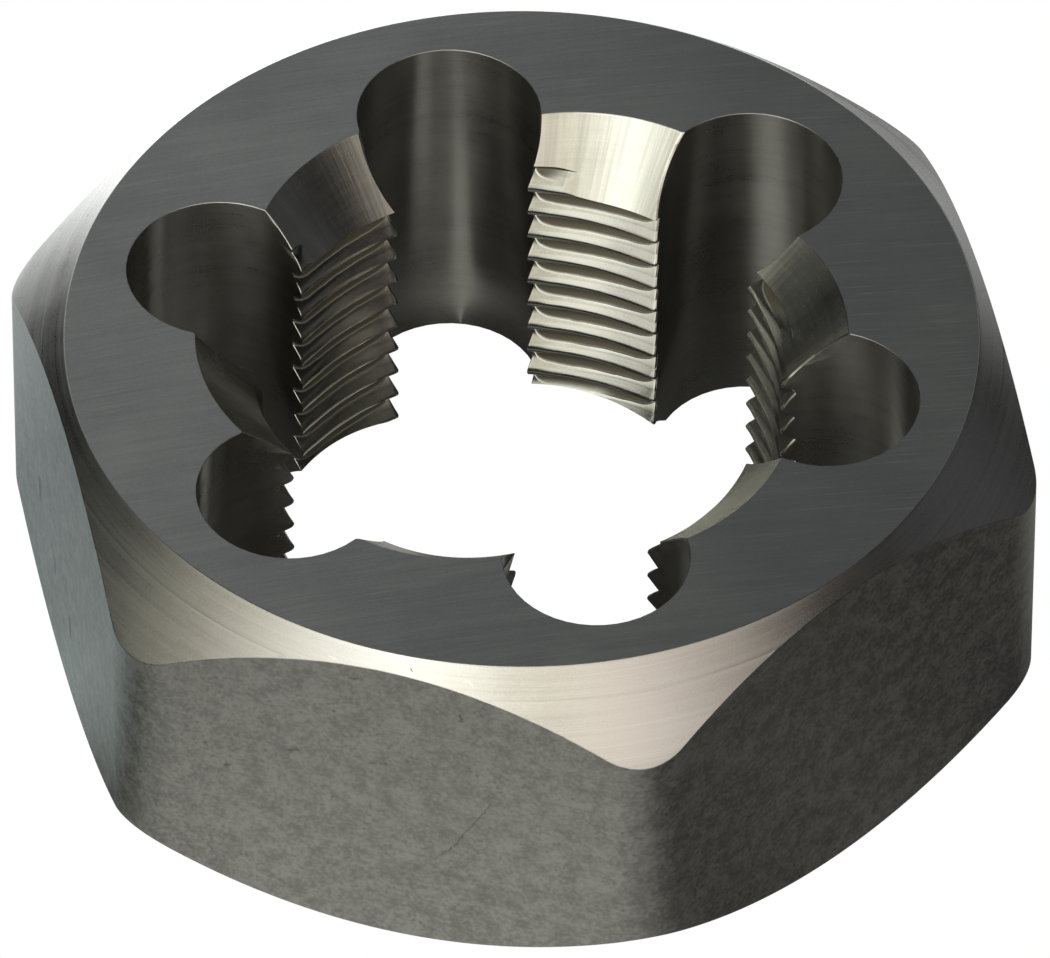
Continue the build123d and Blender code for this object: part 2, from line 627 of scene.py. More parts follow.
@dataclass
class FlutedBore:
    """The inside of the die: six flutes and six toothed lands with a lead at both ends."""

    thickness: float = 25.4
    flute_radius: float = 11.9 / 2
    flute_circle: float = 40.5 / 2
    first_flute: float = -90.0
    mouth_edge: float = 0.035
    # Rows and columns of the mesh, and the depth above which the flanks get more rows
    land_columns: int = 40
    flute_columns: int = 26
    flute_rows: int = 16
    first_flute_row: float = 0.1
    row_margin: float = 1.35
    fine_depth: float = 6.0
    # The bevel on both edges of a land: what it takes off the land and off the flute, both
    # in degrees, the clockwise edge first
    edge_cut: Pair = (0.4, 0.14)
    worn_strip: Pair = (1.15, 0.45)
    # How far, in degrees, a flute's own columns stay off its corners, which are looked for
    # within this height
    corner_strip: float = 1.6
    near_corner: float = 1.2
    # Marks: width of the worn edge, and how far the leads have to be from the thread
    bevel_width: float = 0.1
    clear_span: Pair = (0.05, 0.45)
    line_radius: float = 17.0
    # How closely an edge is looked for
    edge_rounds: int = 12
    halvings: int = 20
    least_step: float = 1e-4
    thread: ThreadForm = field(default_factory=ThreadForm)
    top_lead: LeadCone = field(
        default_factory=lambda: LeadCone(
            mouth_radius=13.8, offset=7.1, relief=-13.0, face=25.4, downwards=True
        )
    )
    bottom_lead: LeadCone = field(
        default_factory=lambda: LeadCone(
            mouth_radius=13.15, offset=7.1, relief=13.0, face=0.0, downwards=False
        )
    )

    def lead_gap(self, z: Array, angle: Array, land: Array) -> Array:
        """Return how far the leads cut outside the thread; below 0 the thread is left.

        Args:
            z: Height.
            angle: Angle in degrees.
            land: Angle of the land's middle.

        Returns:
            The wider lead's radius less the thread's.
        """
        top, bottom = (lead.radius(z, angle - land) for lead in (self.top_lead, self.bottom_lead))
        return np.maximum(top, bottom) - self.thread.radius(z, angle, angle - land)

    def land_radius(self, z: Array, angle: Array, land: Array) -> Array:
        """Return the radius of a land's surface: the widest of the thread and both leads."""
        cut = np.maximum(self.lead_gap(z, angle, land), 0.0)
        return self.thread.radius(z, angle, angle - land) + cut

    def snap_rows(self, z: Array, angle: Array, land: Array) -> tuple[Array, Array]:
        """Move points up or down onto the edges where the leads cut the thread.

        Where the gap changes sign between two rows, its zero is found by halving the span
        again and again, and the nearer of the two points is moved there.

        Args:
            z: Rows by lands by columns, heights.
            angle: Angles in degrees.
            land: Angles of the lands' middles.

        Returns:
            The new heights, and true where a point lies on an edge.
        """
        low, high = z[:-1].copy(), z[1:].copy()
        at_low = self.lead_gap(low, angle[:-1], land) > 0
        crosses = at_low != (self.lead_gap(high, angle[1:], land) > 0)
        for _ in range(self.halvings):
            middle = (low + high) / 2
            share = (middle - z[:-1]) / np.maximum(z[1:] - z[:-1], 1e-9)
            turned = angle[:-1] + share * (angle[1:] - angle[:-1])
            same = (self.lead_gap(middle, turned, land) > 0) == at_low
            low, high = np.where(same, middle, low), np.where(same, high, middle)
        crosses &= (z[1:] - z[:-1]) > self.least_step
        crosses[:, :, [0, -1]] = False
        found = (low + high) / 2
        nearer_low = found - z[:-1] < z[1:] - found
        moved, on_edge = z.copy(), np.zeros(z.shape, bool)
        down, up = crosses & nearer_low, crosses & ~nearer_low
        moved[:-1][down], moved[1:][up] = found[down], found[up]
        on_edge[:-1] |= down
        on_edge[1:] |= up
        return moved, on_edge

    def flute_half_angle(self, radius: Array) -> Array:
        """Return half the angle, seen from the axis, that a flute takes at this radius.

        The cosine rule: (R^2 + r^2 - f^2) / (2 R r), for flute circle R and flute radius f.

        Args:
            radius: Distance from the axis.

        Returns:
            Degrees from the flute's middle.
        """
        big, small = self.flute_circle, self.flute_radius
        cosine = (big**2 + radius**2 - small**2) / (2 * big * radius)
        return np.degrees(np.arccos(np.clip(cosine, -1, 1)))

    def clamp(self, z: Array) -> Array:
        """Return the height held between the two mouths' edges."""
        return np.clip(z, self.mouth_edge, self.thickness - self.mouth_edge)

    def land_edge(self, rows: Array, land: Array, side: float) -> Array:
        """Return the angle of a land's edge at each row.

        Where the edge lies depends on the land's radius there, and that on the angle, so
        the two are worked out in turn until they hold still.

        Args:
            rows: Rows by 1, heights from a crest.
            land: 1 by 6, the angles of the lands.
            side: -1 for the clockwise edge, 1 for the other.

        Returns:
            Rows by 6, degrees from the land's middle.
        """
        radius = np.full((len(rows), land.shape[1]), self.thread.crest_radius)
        edge = radius * 0
        for _ in range(self.edge_rounds):
            edge = side * (STEP / 2 - self.flute_half_angle(radius))
            z = self.clamp(rows + self.thread.offset(land) + self.thread.climb(edge))
            radius = self.land_radius(z, land + edge, land)
        return edge

    def build(self) -> tuple[list[Sheet], Array, Array]:
        """Return the bore's sheets and its first and last ring of points, from mid flute on.

        Returns:
            The sheets, the ring at the bottom face and the ring at the top one.
        """
        lands, land_points = self.lands()
        flutes, flute_points = self.flutes(land_points)
        beside = self.beside(land_points)
        strips = []
        for number in range(SIDES):
            before = land_points[:, number - 1, -1], beside[:, number - 1, 1]
            after = beside[:, number, 0], land_points[:, number, 0]
            strips += [
                self.strip(*before, Finish.CUT_THREAD),
                self.strip(before[1], flute_points[:, number, 0], Finish.FLUTE_WALL),
                self.strip(flute_points[:, number, -1], after[0], Finish.FLUTE_WALL),
                self.strip(*after, Finish.CUT_THREAD),
            ]
        rings = []
        for row in (0, -1):
            parts = flute_points[row], beside[row, :, :1], land_points[row], beside[row, :, 1:]
            rings.append(np.concatenate(parts, axis=1).reshape(-1, 3))
        low, high = (np.roll(ring, -(self.flute_columns // 2), axis=0) for ring in rings)
        return [lands, flutes, *strips], low, high

    def lands(self) -> tuple[Sheet, Array]:
        """Return the sheet of the six lands and its points.

        A point is at the land's radius, at a share of the angle between the land's edges,
        on a row that climbs with the thread. The shares are the sines of evenly spaced
        angles, so columns lie closest at both edges, which stop short of the flutes by
        the cut that leaves a fine bevel there.

        Returns:
            The sheet, and its points as rows by lands by columns by 3.
        """
        top, margin = self.thickness, self.row_margin
        rows = self.thread.row_offsets(-margin, top + margin, top - self.fine_depth)[:, None]
        land = (self.first_flute + STEP / 2 + STEP * np.arange(SIDES))[None, :]
        left, right = self.land_edge(rows, land, -1.0), self.land_edge(rows, land, 1.0)
        share = np.sin(np.linspace(-math.pi / 2, math.pi / 2, self.land_columns))
        clockwise, other = self.edge_cut
        edge = np.where(share < 0, -left[..., None] - clockwise, right[..., None] - other)
        middle = land[..., None]
        angle = middle + share * edge
        drop = self.thread.offset(land)[..., None] + self.thread.climb(angle - middle)
        z, on_edge = self.snap_rows(self.clamp(rows[..., None] + drop), angle, middle)
        radius = self.land_radius(z, angle, middle)
        points = polar(radius, np.radians(angle), z)
        gap = np.where(on_edge, 0.0, self.lead_gap(z, angle, middle))
        a, b, c, d = gap[:-1, :, :-1], gap[:-1, :, 1:], gap[1:, :, 1:], gap[1:, :, :-1]
        one_way = on_edge[:-1, :, :-1] & on_edge[1:, :, 1:]
        crossed = on_edge[1:, :, :-1] & on_edge[:-1, :, 1:] & ~one_way
        halves = a + b + np.where(crossed, d, c), c + d + np.where(crossed, b, a)
        is_lead = np.stack(halves, axis=-1) > 0
        shape = (len(rows) - 1, SIDES, self.land_columns)
        finish, cut, keep = np.zeros((*shape, 2), int), np.zeros(shape, bool), np.zeros(shape, bool)
        finish[:, :, :-1] = np.where(is_lead, int(Finish.TURNED_LEAD), int(Finish.CUT_THREAD))
        cut[:, :, :-1] = crossed
        keep[:, :, :-1] = True
        start, end = self.clear_span
        to_end = (1 - np.abs(share)) * np.radians(edge) * radius
        marks = np.zeros((*z.shape, len(Mark)))
        marks[..., Mark.LAND_END] = to_end
        marks[..., Mark.WEAR] = np.clip(1 - to_end / self.bevel_width, 0.0, 1.0)
        marks[[0, -1], ..., Mark.WEAR] = 1.0
        marks[..., Mark.GROOVE] = self.thread.groove_share(z, angle)
        marks[..., Mark.CLEAR] = smooth_step((-gap - start) / (end - start))
        lay = np.stack([np.radians(angle) * self.line_radius, z], axis=-1)
        return self.inside_sheet(points, lay, marks, finish, cut, keep), points

    def inside_sheet(
        self, points: Array, lay: Array, marks: Array, finish: Array, crossed: Array, keep: Array
    ) -> Sheet:
        """Return a sheet from rows by six by columns, seen from the axis, with no planes.

        Args:
            points: Rows by 6 by columns by 3.
            lay: Rows by 6 by columns by 2.
            marks: Rows by 6 by columns by marks.
            finish: Rows - 1 by 6 by columns by 2.
            crossed: Rows - 1 by 6 by columns, true where a cell is cut the other way.
            keep: Rows - 1 by 6 by columns, true where there is a cell at all.

        Returns:
            The sheet.
        """
        rows = len(points)
        cells = (rows - 1, points.shape[1] * points.shape[2])
        return grid_sheet(
            points.reshape(rows, -1, 3),
            closed(lay.reshape(rows, -1, 2)),
            marks.reshape(rows, -1, len(Mark)),
            finish.reshape(*cells, 2),
            np.zeros(cells, bool),
            False,
            crossed.reshape(cells),
            keep.reshape(cells),
        )

    def corner_swing(self, radius: Array) -> Array:
        """Return the angle round a flute's centre of its wall's point at this radius.

        The cosine rule, outside the triangle: (r^2 - R^2 - f^2) / (2 R f).
        """
        big, small = self.flute_circle, self.flute_radius
        return np.degrees(np.arccos((radius**2 - big**2 - small**2) / (2 * big * small)))

    def beside(self, land_points: Array) -> Array:
        """Return the points a hair's breadth round the flutes from both edges of every land.

        Args:
            land_points: Rows by lands by columns by 3, the points of the lands.

        Returns:
            Rows by lands by 2 by 3: beside the clockwise edge, and beside the other.
        """
        edges = land_points[:, :, [0, -1]]
        radius = np.hypot(edges[..., 0], edges[..., 1])
        swing = self.corner_swing(radius) - np.array(self.worn_strip)
        middle = self.flute_angle(np.arange(SIDES)[:, None] + np.array([0, 1]))
        return self.on_wall(middle, np.radians(swing * np.array([1.0, -1.0])), edges[..., 2])

    def flute_angle(self, number: Array) -> Array:
        """Return the angle of a flute's centre round the axis, in radians."""
        return np.radians(self.first_flute + STEP * number)

    def on_wall(self, middle: Array, swing: Array, height: Array) -> Array:
        """Return points of the flutes' walls, at this angle round a flute's centre from its own."""
        round_flute = polar(self.flute_radius, middle + swing, height)
        return round_flute + polar(self.flute_circle, middle, 0.0)

    def flutes(self, land_points: Array) -> tuple[Sheet, Array]:
        """Return the sheet of the six flutes' walls and its points.

        Columns are spread evenly round the flute's circle, between angles held just short
        of both corners at each height.

        Args:
            land_points: Rows by lands by columns by 3, the points of the lands.

        Returns:
            The sheet and its points.
        """
        low, high = self.mouth_edge, self.thickness - self.mouth_edge
        inner = low + self.first_flute_row, high - self.first_flute_row
        height = np.concatenate([[low], np.linspace(*inner, self.flute_rows - 2), [high]])
        swings = []
        for number in range(SIDES):
            corners = (land_points[:, number - 1, -1], -1.0), (land_points[:, number, 0], 1.0)
            ends = []
            for edge, sign in corners:
                swing = self.corner_swing(np.hypot(edge[:, 0], edge[:, 1]))
                near = np.abs(edge[:, 2][:, None] - height[None, :]) < self.near_corner
                least = np.where(near, swing[:, None], np.inf).min(axis=0)
                ends.append(sign * (least - self.corner_strip))
            swings.append(np.linspace(*ends, self.flute_columns, axis=-1))
        swing = np.radians(np.stack(swings, axis=1))
        z = np.broadcast_to(height[:, None, None], swing.shape)
        middle = self.flute_angle(np.arange(SIDES))[None, :, None]
        points = self.on_wall(middle, swing, z)
        shape = (self.flute_rows - 1, SIDES, self.flute_columns)
        keep = np.zeros(shape, bool)
        keep[:, :, :-1] = True
        marks = np.zeros((*z.shape, len(Mark)))
        marks[[0, -1], ..., Mark.WEAR] = 1.0
        lay = np.stack([(middle + swing) * self.flute_radius, z], axis=-1)
        finish = np.full((*shape, 2), int(Finish.FLUTE_WALL))
        return self.inside_sheet(points, lay, marks, finish, np.zeros(shape, bool), keep), points

    def strip(self, left: Array, right: Array, finish: Finish) -> Sheet:
        """Return the strip between two columns of points beside a flute, zipped by height.

        Args:
            left: Points of the left column, rising.
            right: Points of the right column, rising.
            finish: The strip's finish; the bevel's is all worn.

        Returns:
            The sheet.
        """
        points = np.concatenate([left, right])
        corners = zip_columns(left[:, 2], right[:, 2])
        marks = np.zeros((len(points), len(Mark)))
        marks[:, Mark.WEAR] = 1.0 if finish == Finish.CUT_THREAD else 0.0
        centre = (left[0] + right[0]) / 2
        step = np.round((np.degrees(np.arctan2(centre[1], centre[0])) - self.first_flute) / STEP)
        middle = self.flute_angle(step)
        dx = points[:, 0] - self.flute_circle * math.cos(middle)
        dy = points[:, 1] - self.flute_circle * math.sin(middle)
        swing = (np.arctan2(dy, dx) - middle + math.pi) % (2 * math.pi) - math.pi
        lay = np.stack([(middle + swing) * self.flute_radius, points[:, 2]], axis=-1)
        finishes, flat = np.full(len(corners), int(finish)), np.zeros(len(corners), bool)
        return Sheet(points, marks, corners, lay[corners], finishes, flat)


@dataclass
class EndFace:
    """One ground face: a narrow broken edge round the mouth, and the plane outside it."""

    height: float
    mouth_edge: float
    upward: bool
    # Radius of the plain ring half way out
    middle_radius: float = 27.6
    least_cosine: float = 0.45
    least_turn: float = 2e-4
    # The grinding lines: their angle, and how they bend round their middle
    line_angle: float = -4.5
    line_bend: float = 0.0016
    bend_centre: float = 6.0

    def build(self, mouth: Array, rim: Array) -> Sheet:
        """Return the face's sheet.

        The mouth's ring is moved out square to itself by the broken edge; a plain ring at
        the middle radius follows, with each point at the greatest angle reached so far;
        triangles then run from it to the rim. The grinding lines bend by a parabola.

        Args:
            mouth: The bore's last ring of points.
            rim: The outside wall's last ring of points.

        Returns:
            The sheet.
        """
        ahead = np.roll(mouth, -1, axis=0) - mouth
        ahead = ahead[:, :2] / np.linalg.norm(ahead[:, :2], axis=1, keepdims=True)
        behind = np.roll(ahead, 1, axis=0)
        square = np.stack([ahead[:, 1] + behind[:, 1], -ahead[:, 0] - behind[:, 0]], axis=1)
        square /= np.linalg.norm(square, axis=1, keepdims=True)
        side = np.stack([ahead[:, 1], -ahead[:, 0]], axis=1)
        cosine = np.clip((square * side).sum(axis=1), self.least_cosine, 1)
        lip = mouth[:, :2] + square * (self.mouth_edge / cosine)[:, None]
        lip = np.concatenate([lip, np.full((len(lip), 1), self.height)], axis=1)
        angle = np.unwrap(np.arctan2(lip[:, 1], lip[:, 0]))
        count = len(angle)
        small = self.least_turn * np.arange(count)
        twice = np.concatenate([angle, angle + 2 * np.pi]) - np.tile(small, 2)
        risen = np.maximum.accumulate(twice)[count:] - 2 * np.pi + small
        ring = polar(self.middle_radius, risen, self.height)
        order = np.argsort(risen % (2 * np.pi))
        rim_angle = np.arctan2(rim[:, 1], rim[:, 0]) % (2 * np.pi)
        rim_order = np.argsort(rim_angle)
        points = np.concatenate([mouth, lip, ring, rim])
        near = np.arange(count)
        nearer = np.roll(near, -1)
        bands = []
        for low, high in ((0, count), (count, 2 * count)):
            a, b, c, d = near + low, near + high, nearer + high, nearer + low
            bands += [np.stack([a, b, d], axis=1), np.stack([b, c, d], axis=1)]
        tri = zip_rings((risen % (2 * np.pi))[order], rim_angle[rim_order])
        real = np.concatenate([2 * count + order, 3 * count + rim_order])
        bands.append(real[tri])
        corners = np.concatenate(bands)
        corners = corners if self.upward else corners[:, ::-1]
        turn = math.radians(self.line_angle)
        x = points[:, 0] * math.cos(turn) + points[:, 1] * math.sin(turn)
        y = points[:, 1] * math.cos(turn) - points[:, 0] * math.sin(turn)
        lay = np.stack([x, y + self.line_bend * (x - self.bend_centre) ** 2], axis=1)
        marks = np.zeros((len(points), len(Mark)))
        marks[:count, Mark.WEAR] = 1.0
        flat = np.ones(len(corners), bool)
        flat[: 2 * count] = False
        finish = np.full(len(corners), int(Finish.GROUND_FACE))
        return Sheet(points, marks, corners, lay[corners], finish, flat)


@dataclass
class DieBody:
    """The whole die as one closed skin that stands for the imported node."""

    node: str = "die_body"
    name: str = "rethreading_die"
    sharp_angle: float = 33.0
    decimals: int = 5
    wall: HexWall = field(default_factory=HexWall)
    bore: FlutedBore = field(default_factory=FlutedBore)

    def join(self, sheets: list[Sheet]) -> Sheet:
        """Return all sheets as one, with points that share a place made one point.

        Points are compared after rounding to a hundred-thousandth of a millimetre, and
        triangles that lose a corner by it are dropped.

        Args:
            sheets: The sheets.

        Returns:
            The joined sheet.
        """
        starts = np.cumsum([0] + [len(s.points) for s in sheets[:-1]])
        points = np.concatenate([s.points for s in sheets])
        marks = np.concatenate([s.marks for s in sheets])
        corners = np.concatenate([s.corners + n for s, n in zip(sheets, starts)])
        places = np.round(points, self.decimals)
        _, first, number = np.unique(places, axis=0, return_index=True, return_inverse=True)
        number = number.reshape(-1)
        top_marks = np.zeros((len(first), len(Mark)))
        np.maximum.at(top_marks, number, marks)
        corners = number[corners]
        keep = (corners != np.roll(corners, 1, axis=1)).all(axis=1)
        return Sheet(
            points=points[first],
            marks=top_marks,
            corners=corners[keep],
            lay=np.concatenate([s.lay for s in sheets])[keep],
            finish=np.concatenate([s.finish for s in sheets])[keep],
            flat=np.concatenate([s.flat for s in sheets])[keep],
        )

    def skin(self) -> Sheet:
        """Return the die's closed skin, in millimetres.

        Returns:
            The wall, the bore and both ground faces as one sheet.
        """
        wall, wall_foot, wall_head = self.wall.build()
        bore, bore_foot, bore_head = self.bore.build()
        edge = self.bore.mouth_edge
        top = EndFace(self.wall.thickness, edge, True).build(bore_head, wall_head)
        bottom = EndFace(0.0, edge, False).build(bore_foot, wall_foot)
        return self.join([wall, *bore, top, bottom])

    def build(self, finishes: list[bpy.types.Material]) -> bpy.types.Object:
        """Make the mesh, hang its materials on it and put it on its body.

        Args:
            finishes: One material for each finish, in order.

        Returns:
            The die's object.
        """
        skin = self.skin()
        count = len(skin.corners)
        mesh = bpy.data.meshes.new(self.name)
        mesh.vertices.add(len(skin.points))
        mesh.vertices.foreach_set("co", (skin.points * MM).astype(np.float32).reshape(-1))
        mesh.loops.add(3 * count)
        mesh.loops.foreach_set("vertex_index", skin.corners.astype(np.int32).reshape(-1))
        mesh.polygons.add(count)
        mesh.polygons.foreach_set("loop_start", np.arange(0, 3 * count, 3, dtype=np.int32))
        mesh.polygons.foreach_set("loop_total", np.full(count, 3, np.int32))
        mesh.polygons.foreach_set("material_index", skin.finish.astype(np.int32))
        mesh.update(calc_edges=True)
        lay = mesh.uv_layers.new(name="lay")
        lay.data.foreach_set("uv", skin.lay.astype(np.float32).reshape(-1))
        for mark in Mark:
            layer = mesh.attributes.new(mark.name.lower(), "FLOAT", "POINT")
            layer.data.foreach_set("value", skin.marks[:, mark].astype(np.float32))
        mesh.set_sharp_from_angle(angle=math.radians(self.sharp_angle))
        sharp = mesh.attributes.get("sharp_face")
        sharp = sharp or mesh.attributes.new("sharp_face", "BOOLEAN", "FACE")
        sharp.data.foreach_set("value", skin.flat)
        mesh.validate()
        piece = bpy.data.objects.new(self.name, mesh)
        bpy.context.scene.collection.objects.link(piece)
        for material in finishes:
            mesh.materials.append(material)
        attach(piece, "root")
        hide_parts(self.node)
        return piece


# ---------------------------------------------------------------- finishes


def socket(group: Tree, name: str, kind: str, output: bool = False, value: object = None) -> None:
    """Add one socket to a node group.

    Args:
        group: The group.
        name: The socket's name.
        kind: Float, Vector or Color.
        output: True for an output.
        value: Default value of an input.
    """
    side = "OUTPUT" if output else "INPUT"
    made = group.interface.new_socket(name=name, in_out=side, socket_type="NodeSocket" + kind)
    if value is not None:
        made.default_value = value


@dataclass
class Nodes:
    """A short way to place and join shader nodes in one tree."""

    tree: Tree

    def add(self, kind: str, **settings: object) -> bpy.types.Node:
        """Return a new node of this kind with these settings.

        Args:
            kind: The shader node's type, without its prefix.
            settings: Properties of the node.

        Returns:
            The node.
        """
        node = self.tree.nodes.new("ShaderNode" + kind)
        for name, value in settings.items():
            setattr(node, name, value)
        return node

    def feed(self, target: Socket, source: object) -> None:
        """Set an input to a constant, or join it to an output.

        Args:
            target: The input.
            source: The output or the constant; None leaves the input as it is.
        """
        if isinstance(source, Socket):
            self.tree.links.new(source, target)
        elif source is not None:
            target.default_value = source

    def mark(self, mark: Mark) -> Socket:
        """Return a mark that the mesh carries on its points."""
        name = mark.name.lower()
        return self.add("Attribute", attribute_type="GEOMETRY", attribute_name=name).outputs["Fac"]

    def math(self, operation: str, a: object, b: object = None) -> Socket:
        """Return the output of a Math node.

        Args:
            operation: What it works out.
            a: First value.
            b: Second value, if it takes one.

        Returns:
            The result.
        """
        node = self.add("Math", operation=operation)
        self.feed(node.inputs[0], a)
        self.feed(node.inputs[1], b)
        return node.outputs[0]

    def vector(self, operation: str, *sources: object) -> bpy.types.bpy_prop_collection:
        """Return the outputs, Vector and Value, of a Vector Math node.

        Args:
            operation: What it works out.
            sources: Its inputs, in order.

        Returns:
            The outputs by name.
        """
        node = self.add("VectorMath", operation=operation)
        for number, source in enumerate(sources):
            self.feed(node.inputs[number], source)
        return node.outputs

    def weighed(self, *parts: tuple[object, float]) -> Socket:
        """Return the sum of these values, each times its weight.

        Args:
            parts: Pairs of a value and its weight.

        Returns:
            The sum.
        """
        total: object = None
        for value, weight in parts:
            product = self.math("MULTIPLY", value, weight)
            total = product if total is None else self.math("ADD", total, product)
        return total

    def span(self, value: object, low: float, high: float, to_low: float, to_high: float) -> Socket:
        """Return a value carried smoothly from one range to another.

        Args:
            value: The value.
            low: Start of its range.
            high: End of its range.
            to_low: What the start becomes.
            to_high: What the end becomes.

        Returns:
            The carried value, which stays between both.
        """
        node = self.add("MapRange", interpolation_type="SMOOTHSTEP")
        for number, source in enumerate((value, low, high, to_low, to_high)):
            self.feed(node.inputs[number], source)
        return node.outputs[0]

    def blend(self, factor: object, a: object, b: object) -> Socket:
        """Return a colour mixed from two, by the colour sockets of a Mix node.

        Args:
            factor: Share of the second colour.
            a: First colour.
            b: Second colour.

        Returns:
            The mixed colour.
        """
        node = self.add("Mix", data_type="RGBA", clamp_factor=True)
        self.feed(node.inputs[0], factor)
        self.feed(node.inputs[6], a)
        self.feed(node.inputs[7], b)
        return node.outputs[2]

    def noise(self, place: object, scale: object, detail: float, rough: float) -> Socket:
        """Return the value of a noise texture.

        Args:
            place: Coordinates.
            scale: Scale of the noise.
            detail: Number of finer layers.
            rough: Weight of each layer against the one before.

        Returns:
            The noise, about 0.5 on average.
        """
        node = self.add("TexNoise")
        self.feed(node.inputs["Vector"], place)
        self.feed(node.inputs["Scale"], scale)
        self.feed(node.inputs["Detail"], detail)
        self.feed(node.inputs["Roughness"], rough)
        return node.outputs[0]

    def use(self, group: Tree, *values: object) -> bpy.types.bpy_prop_collection:
        """Return the outputs of a group placed with these inputs, in order.

        Args:
            group: The group.
            values: Its inputs, in order.

        Returns:
            The outputs by name.
        """
        node = self.add("Group", node_tree=group)
        for number, value in enumerate(values):
            self.feed(node.inputs[number], value)
        return node.outputs

    def dot(self, a: object, b: object) -> Socket:
        """Return the dot product of two vectors."""
        return self.vector("DOT_PRODUCT", a, b)["Value"]

    def add_scaled(self, total: object, colour: Triple, share: object) -> Socket:
        """Return a running total with a colour times a share added to it."""
        return self.vector("MULTIPLY_ADD", share, colour, total)["Vector"]


def new_group(name: str) -> tuple[Tree, Nodes, bpy.types.Node, bpy.types.Node]:
    """Return an empty shader node group, its node maker, and its input and output nodes.

    Args:
        name: The group's name.

    Returns:
        The group, its node maker, its inlet and its outlet.
    """
    tree = bpy.data.node_groups.new(name, "ShaderNodeTree")
    nodes = Nodes(tree)
    return tree, nodes, tree.nodes.new("NodeGroupInput"), tree.nodes.new("NodeGroupOutput")


def tool_marks_group() -> Tree:
    """Return the group that draws the lines a tool leaves along the lay.

    Three noises are stretched along the first pattern coordinate, from broad bands down
    to hair lines, and added by weight. A fourth, thresholded, leaves a few scratches.

    Returns:
        The group.
    """
    tree, n, inlet, outlet = new_group("tool_marks")
    socket(tree, "Lay", "Vector")
    socket(tree, "Line width", "Float", value=0.1)
    socket(tree, "Line length", "Float", value=12.0)
    socket(tree, "Height", "Float", output=True)
    socket(tree, "Bands", "Float", output=True)
    socket(tree, "Scratches", "Float", output=True)
    split = n.add("SeparateXYZ")
    n.feed(split.inputs[0], inlet.outputs[0])
    along = n.math("DIVIDE", split.outputs[0], inlet.outputs[2])
    across = n.math("DIVIDE", split.outputs[1], inlet.outputs[1])

    def lines(coarse: float, seed: float, detail: float) -> Socket:
        """Return one noise, this many line widths across.

        Args:
            coarse: Size of the noise, in line widths.
            seed: Where the noise is cut.
            detail: Number of finer layers.

        Returns:
            The noise.
        """
        join = n.add("CombineXYZ")
        n.feed(join.inputs[0], n.math("DIVIDE", along, math.sqrt(coarse)))
        n.feed(join.inputs[1], n.math("DIVIDE", across, coarse))
        n.feed(join.inputs[2], seed)
        return n.noise(join.outputs[0], 1.0, detail, 0.6)

    fine, middle, broad = lines(1.0, 0.0, 1.0), lines(3.0, 7.3, 2.0), lines(14.0, 3.1, 1.0)
    n.feed(outlet.inputs[0], n.weighed((fine, 0.7), (middle, 0.3)))
    n.feed(outlet.inputs[1], n.weighed((fine, 0.35), (middle, 0.4), (broad, 0.25)))
    n.feed(outlet.inputs[2], n.span(lines(1.5, 11.9, 0.0), 0.66, 0.84, 0.0, 1.0))
    return tree


def blotches_group() -> Tree:
    """Return the group that clouds a surface, grains it and dots it with pits.

    Clouds and grain are soft noises of two sizes. Pits are the small middles of cells of
    a cell texture, kept only where a coarser noise is high, so they lie in clusters.

    Returns:
        The group.
    """
    tree, n, inlet, outlet = new_group("clouds_and_pits")
    socket(tree, "Place", "Vector")
    socket(tree, "Cloud size", "Float", value=8.0)
    socket(tree, "Grain size", "Float", value=0.15)
    socket(tree, "Pit size", "Float", value=0.5)
    socket(tree, "Clouds", "Float", output=True)
    socket(tree, "Grain", "Float", output=True)
    socket(tree, "Pits", "Float", output=True)
    for number, detail in ((1, 4.0), (2, 2.0)):
        scale = n.math("DIVIDE", 1.0 / MM, inlet.outputs[number])
        n.feed(outlet.inputs[number - 1], n.noise(inlet.outputs[0], scale, detail, 0.6))
    cells = n.add("TexVoronoi")
    n.feed(cells.inputs["Vector"], inlet.outputs[0])
    n.feed(cells.inputs["Scale"], n.math("DIVIDE", 1.0 / MM, inlet.outputs[3]))
    near = n.span(cells.outputs["Distance"], 0.08, 0.4, 1.0, 0.0)
    rare = n.span(n.noise(inlet.outputs[0], 380.0, 3.0, 0.6), 0.54, 0.68, 0.0, 1.0)
    n.feed(outlet.inputs[2], n.math("MULTIPLY", near, rare))
    return tree


def edge_wear_group() -> Tree:
    """Return the group that breaks up the wear of the edges with a noise.

    Returns:
        The group.
    """
    tree, n, inlet, outlet = new_group("edge_wear")
    socket(tree, "Place", "Vector")
    socket(tree, "Edge", "Float")
    socket(tree, "Worn", "Float", output=True)
    rubbed = n.span(n.noise(inlet.outputs[0], 420.0, 4.0, 0.5), 0.44, 0.62, 0.05, 1.0)
    n.feed(outlet.inputs[0], n.math("MULTIPLY", inlet.outputs[1], rubbed))
    return tree


def short_mark_group() -> Tree:
    """Return the group that draws one nick, pit or stretch of a crack.

    The distance from a short line is the length of what is left of the way from its start
    after the part along it, held between its ends, is taken off. Pull is the line over
    the square of its length.

    Returns:
        The group.
    """
    tree, n, inlet, outlet = new_group("short_mark")
    socket(tree, "Place", "Vector")
    socket(tree, "Start", "Vector")
    socket(tree, "Line", "Vector")
    socket(tree, "Pull", "Vector")
    socket(tree, "Width", "Float", value=0.0001)
    socket(tree, "Mark", "Float", output=True)
    way = n.vector("SUBTRACT", inlet.outputs[0], inlet.outputs[1])["Vector"]
    share = n.math("MULTIPLY", n.dot(way, inlet.outputs[3]), -1.0)
    held = n.math("MAXIMUM", n.math("MINIMUM", share, 0.0), -1.0)
    left = n.vector("MULTIPLY_ADD", inlet.outputs[2], held, way)["Vector"]
    length = n.vector("LENGTH", left)["Value"]
    n.feed(outlet.inputs[0], n.span(length, 0.0, inlet.outputs[4], 1.0, 0.0))
    return tree


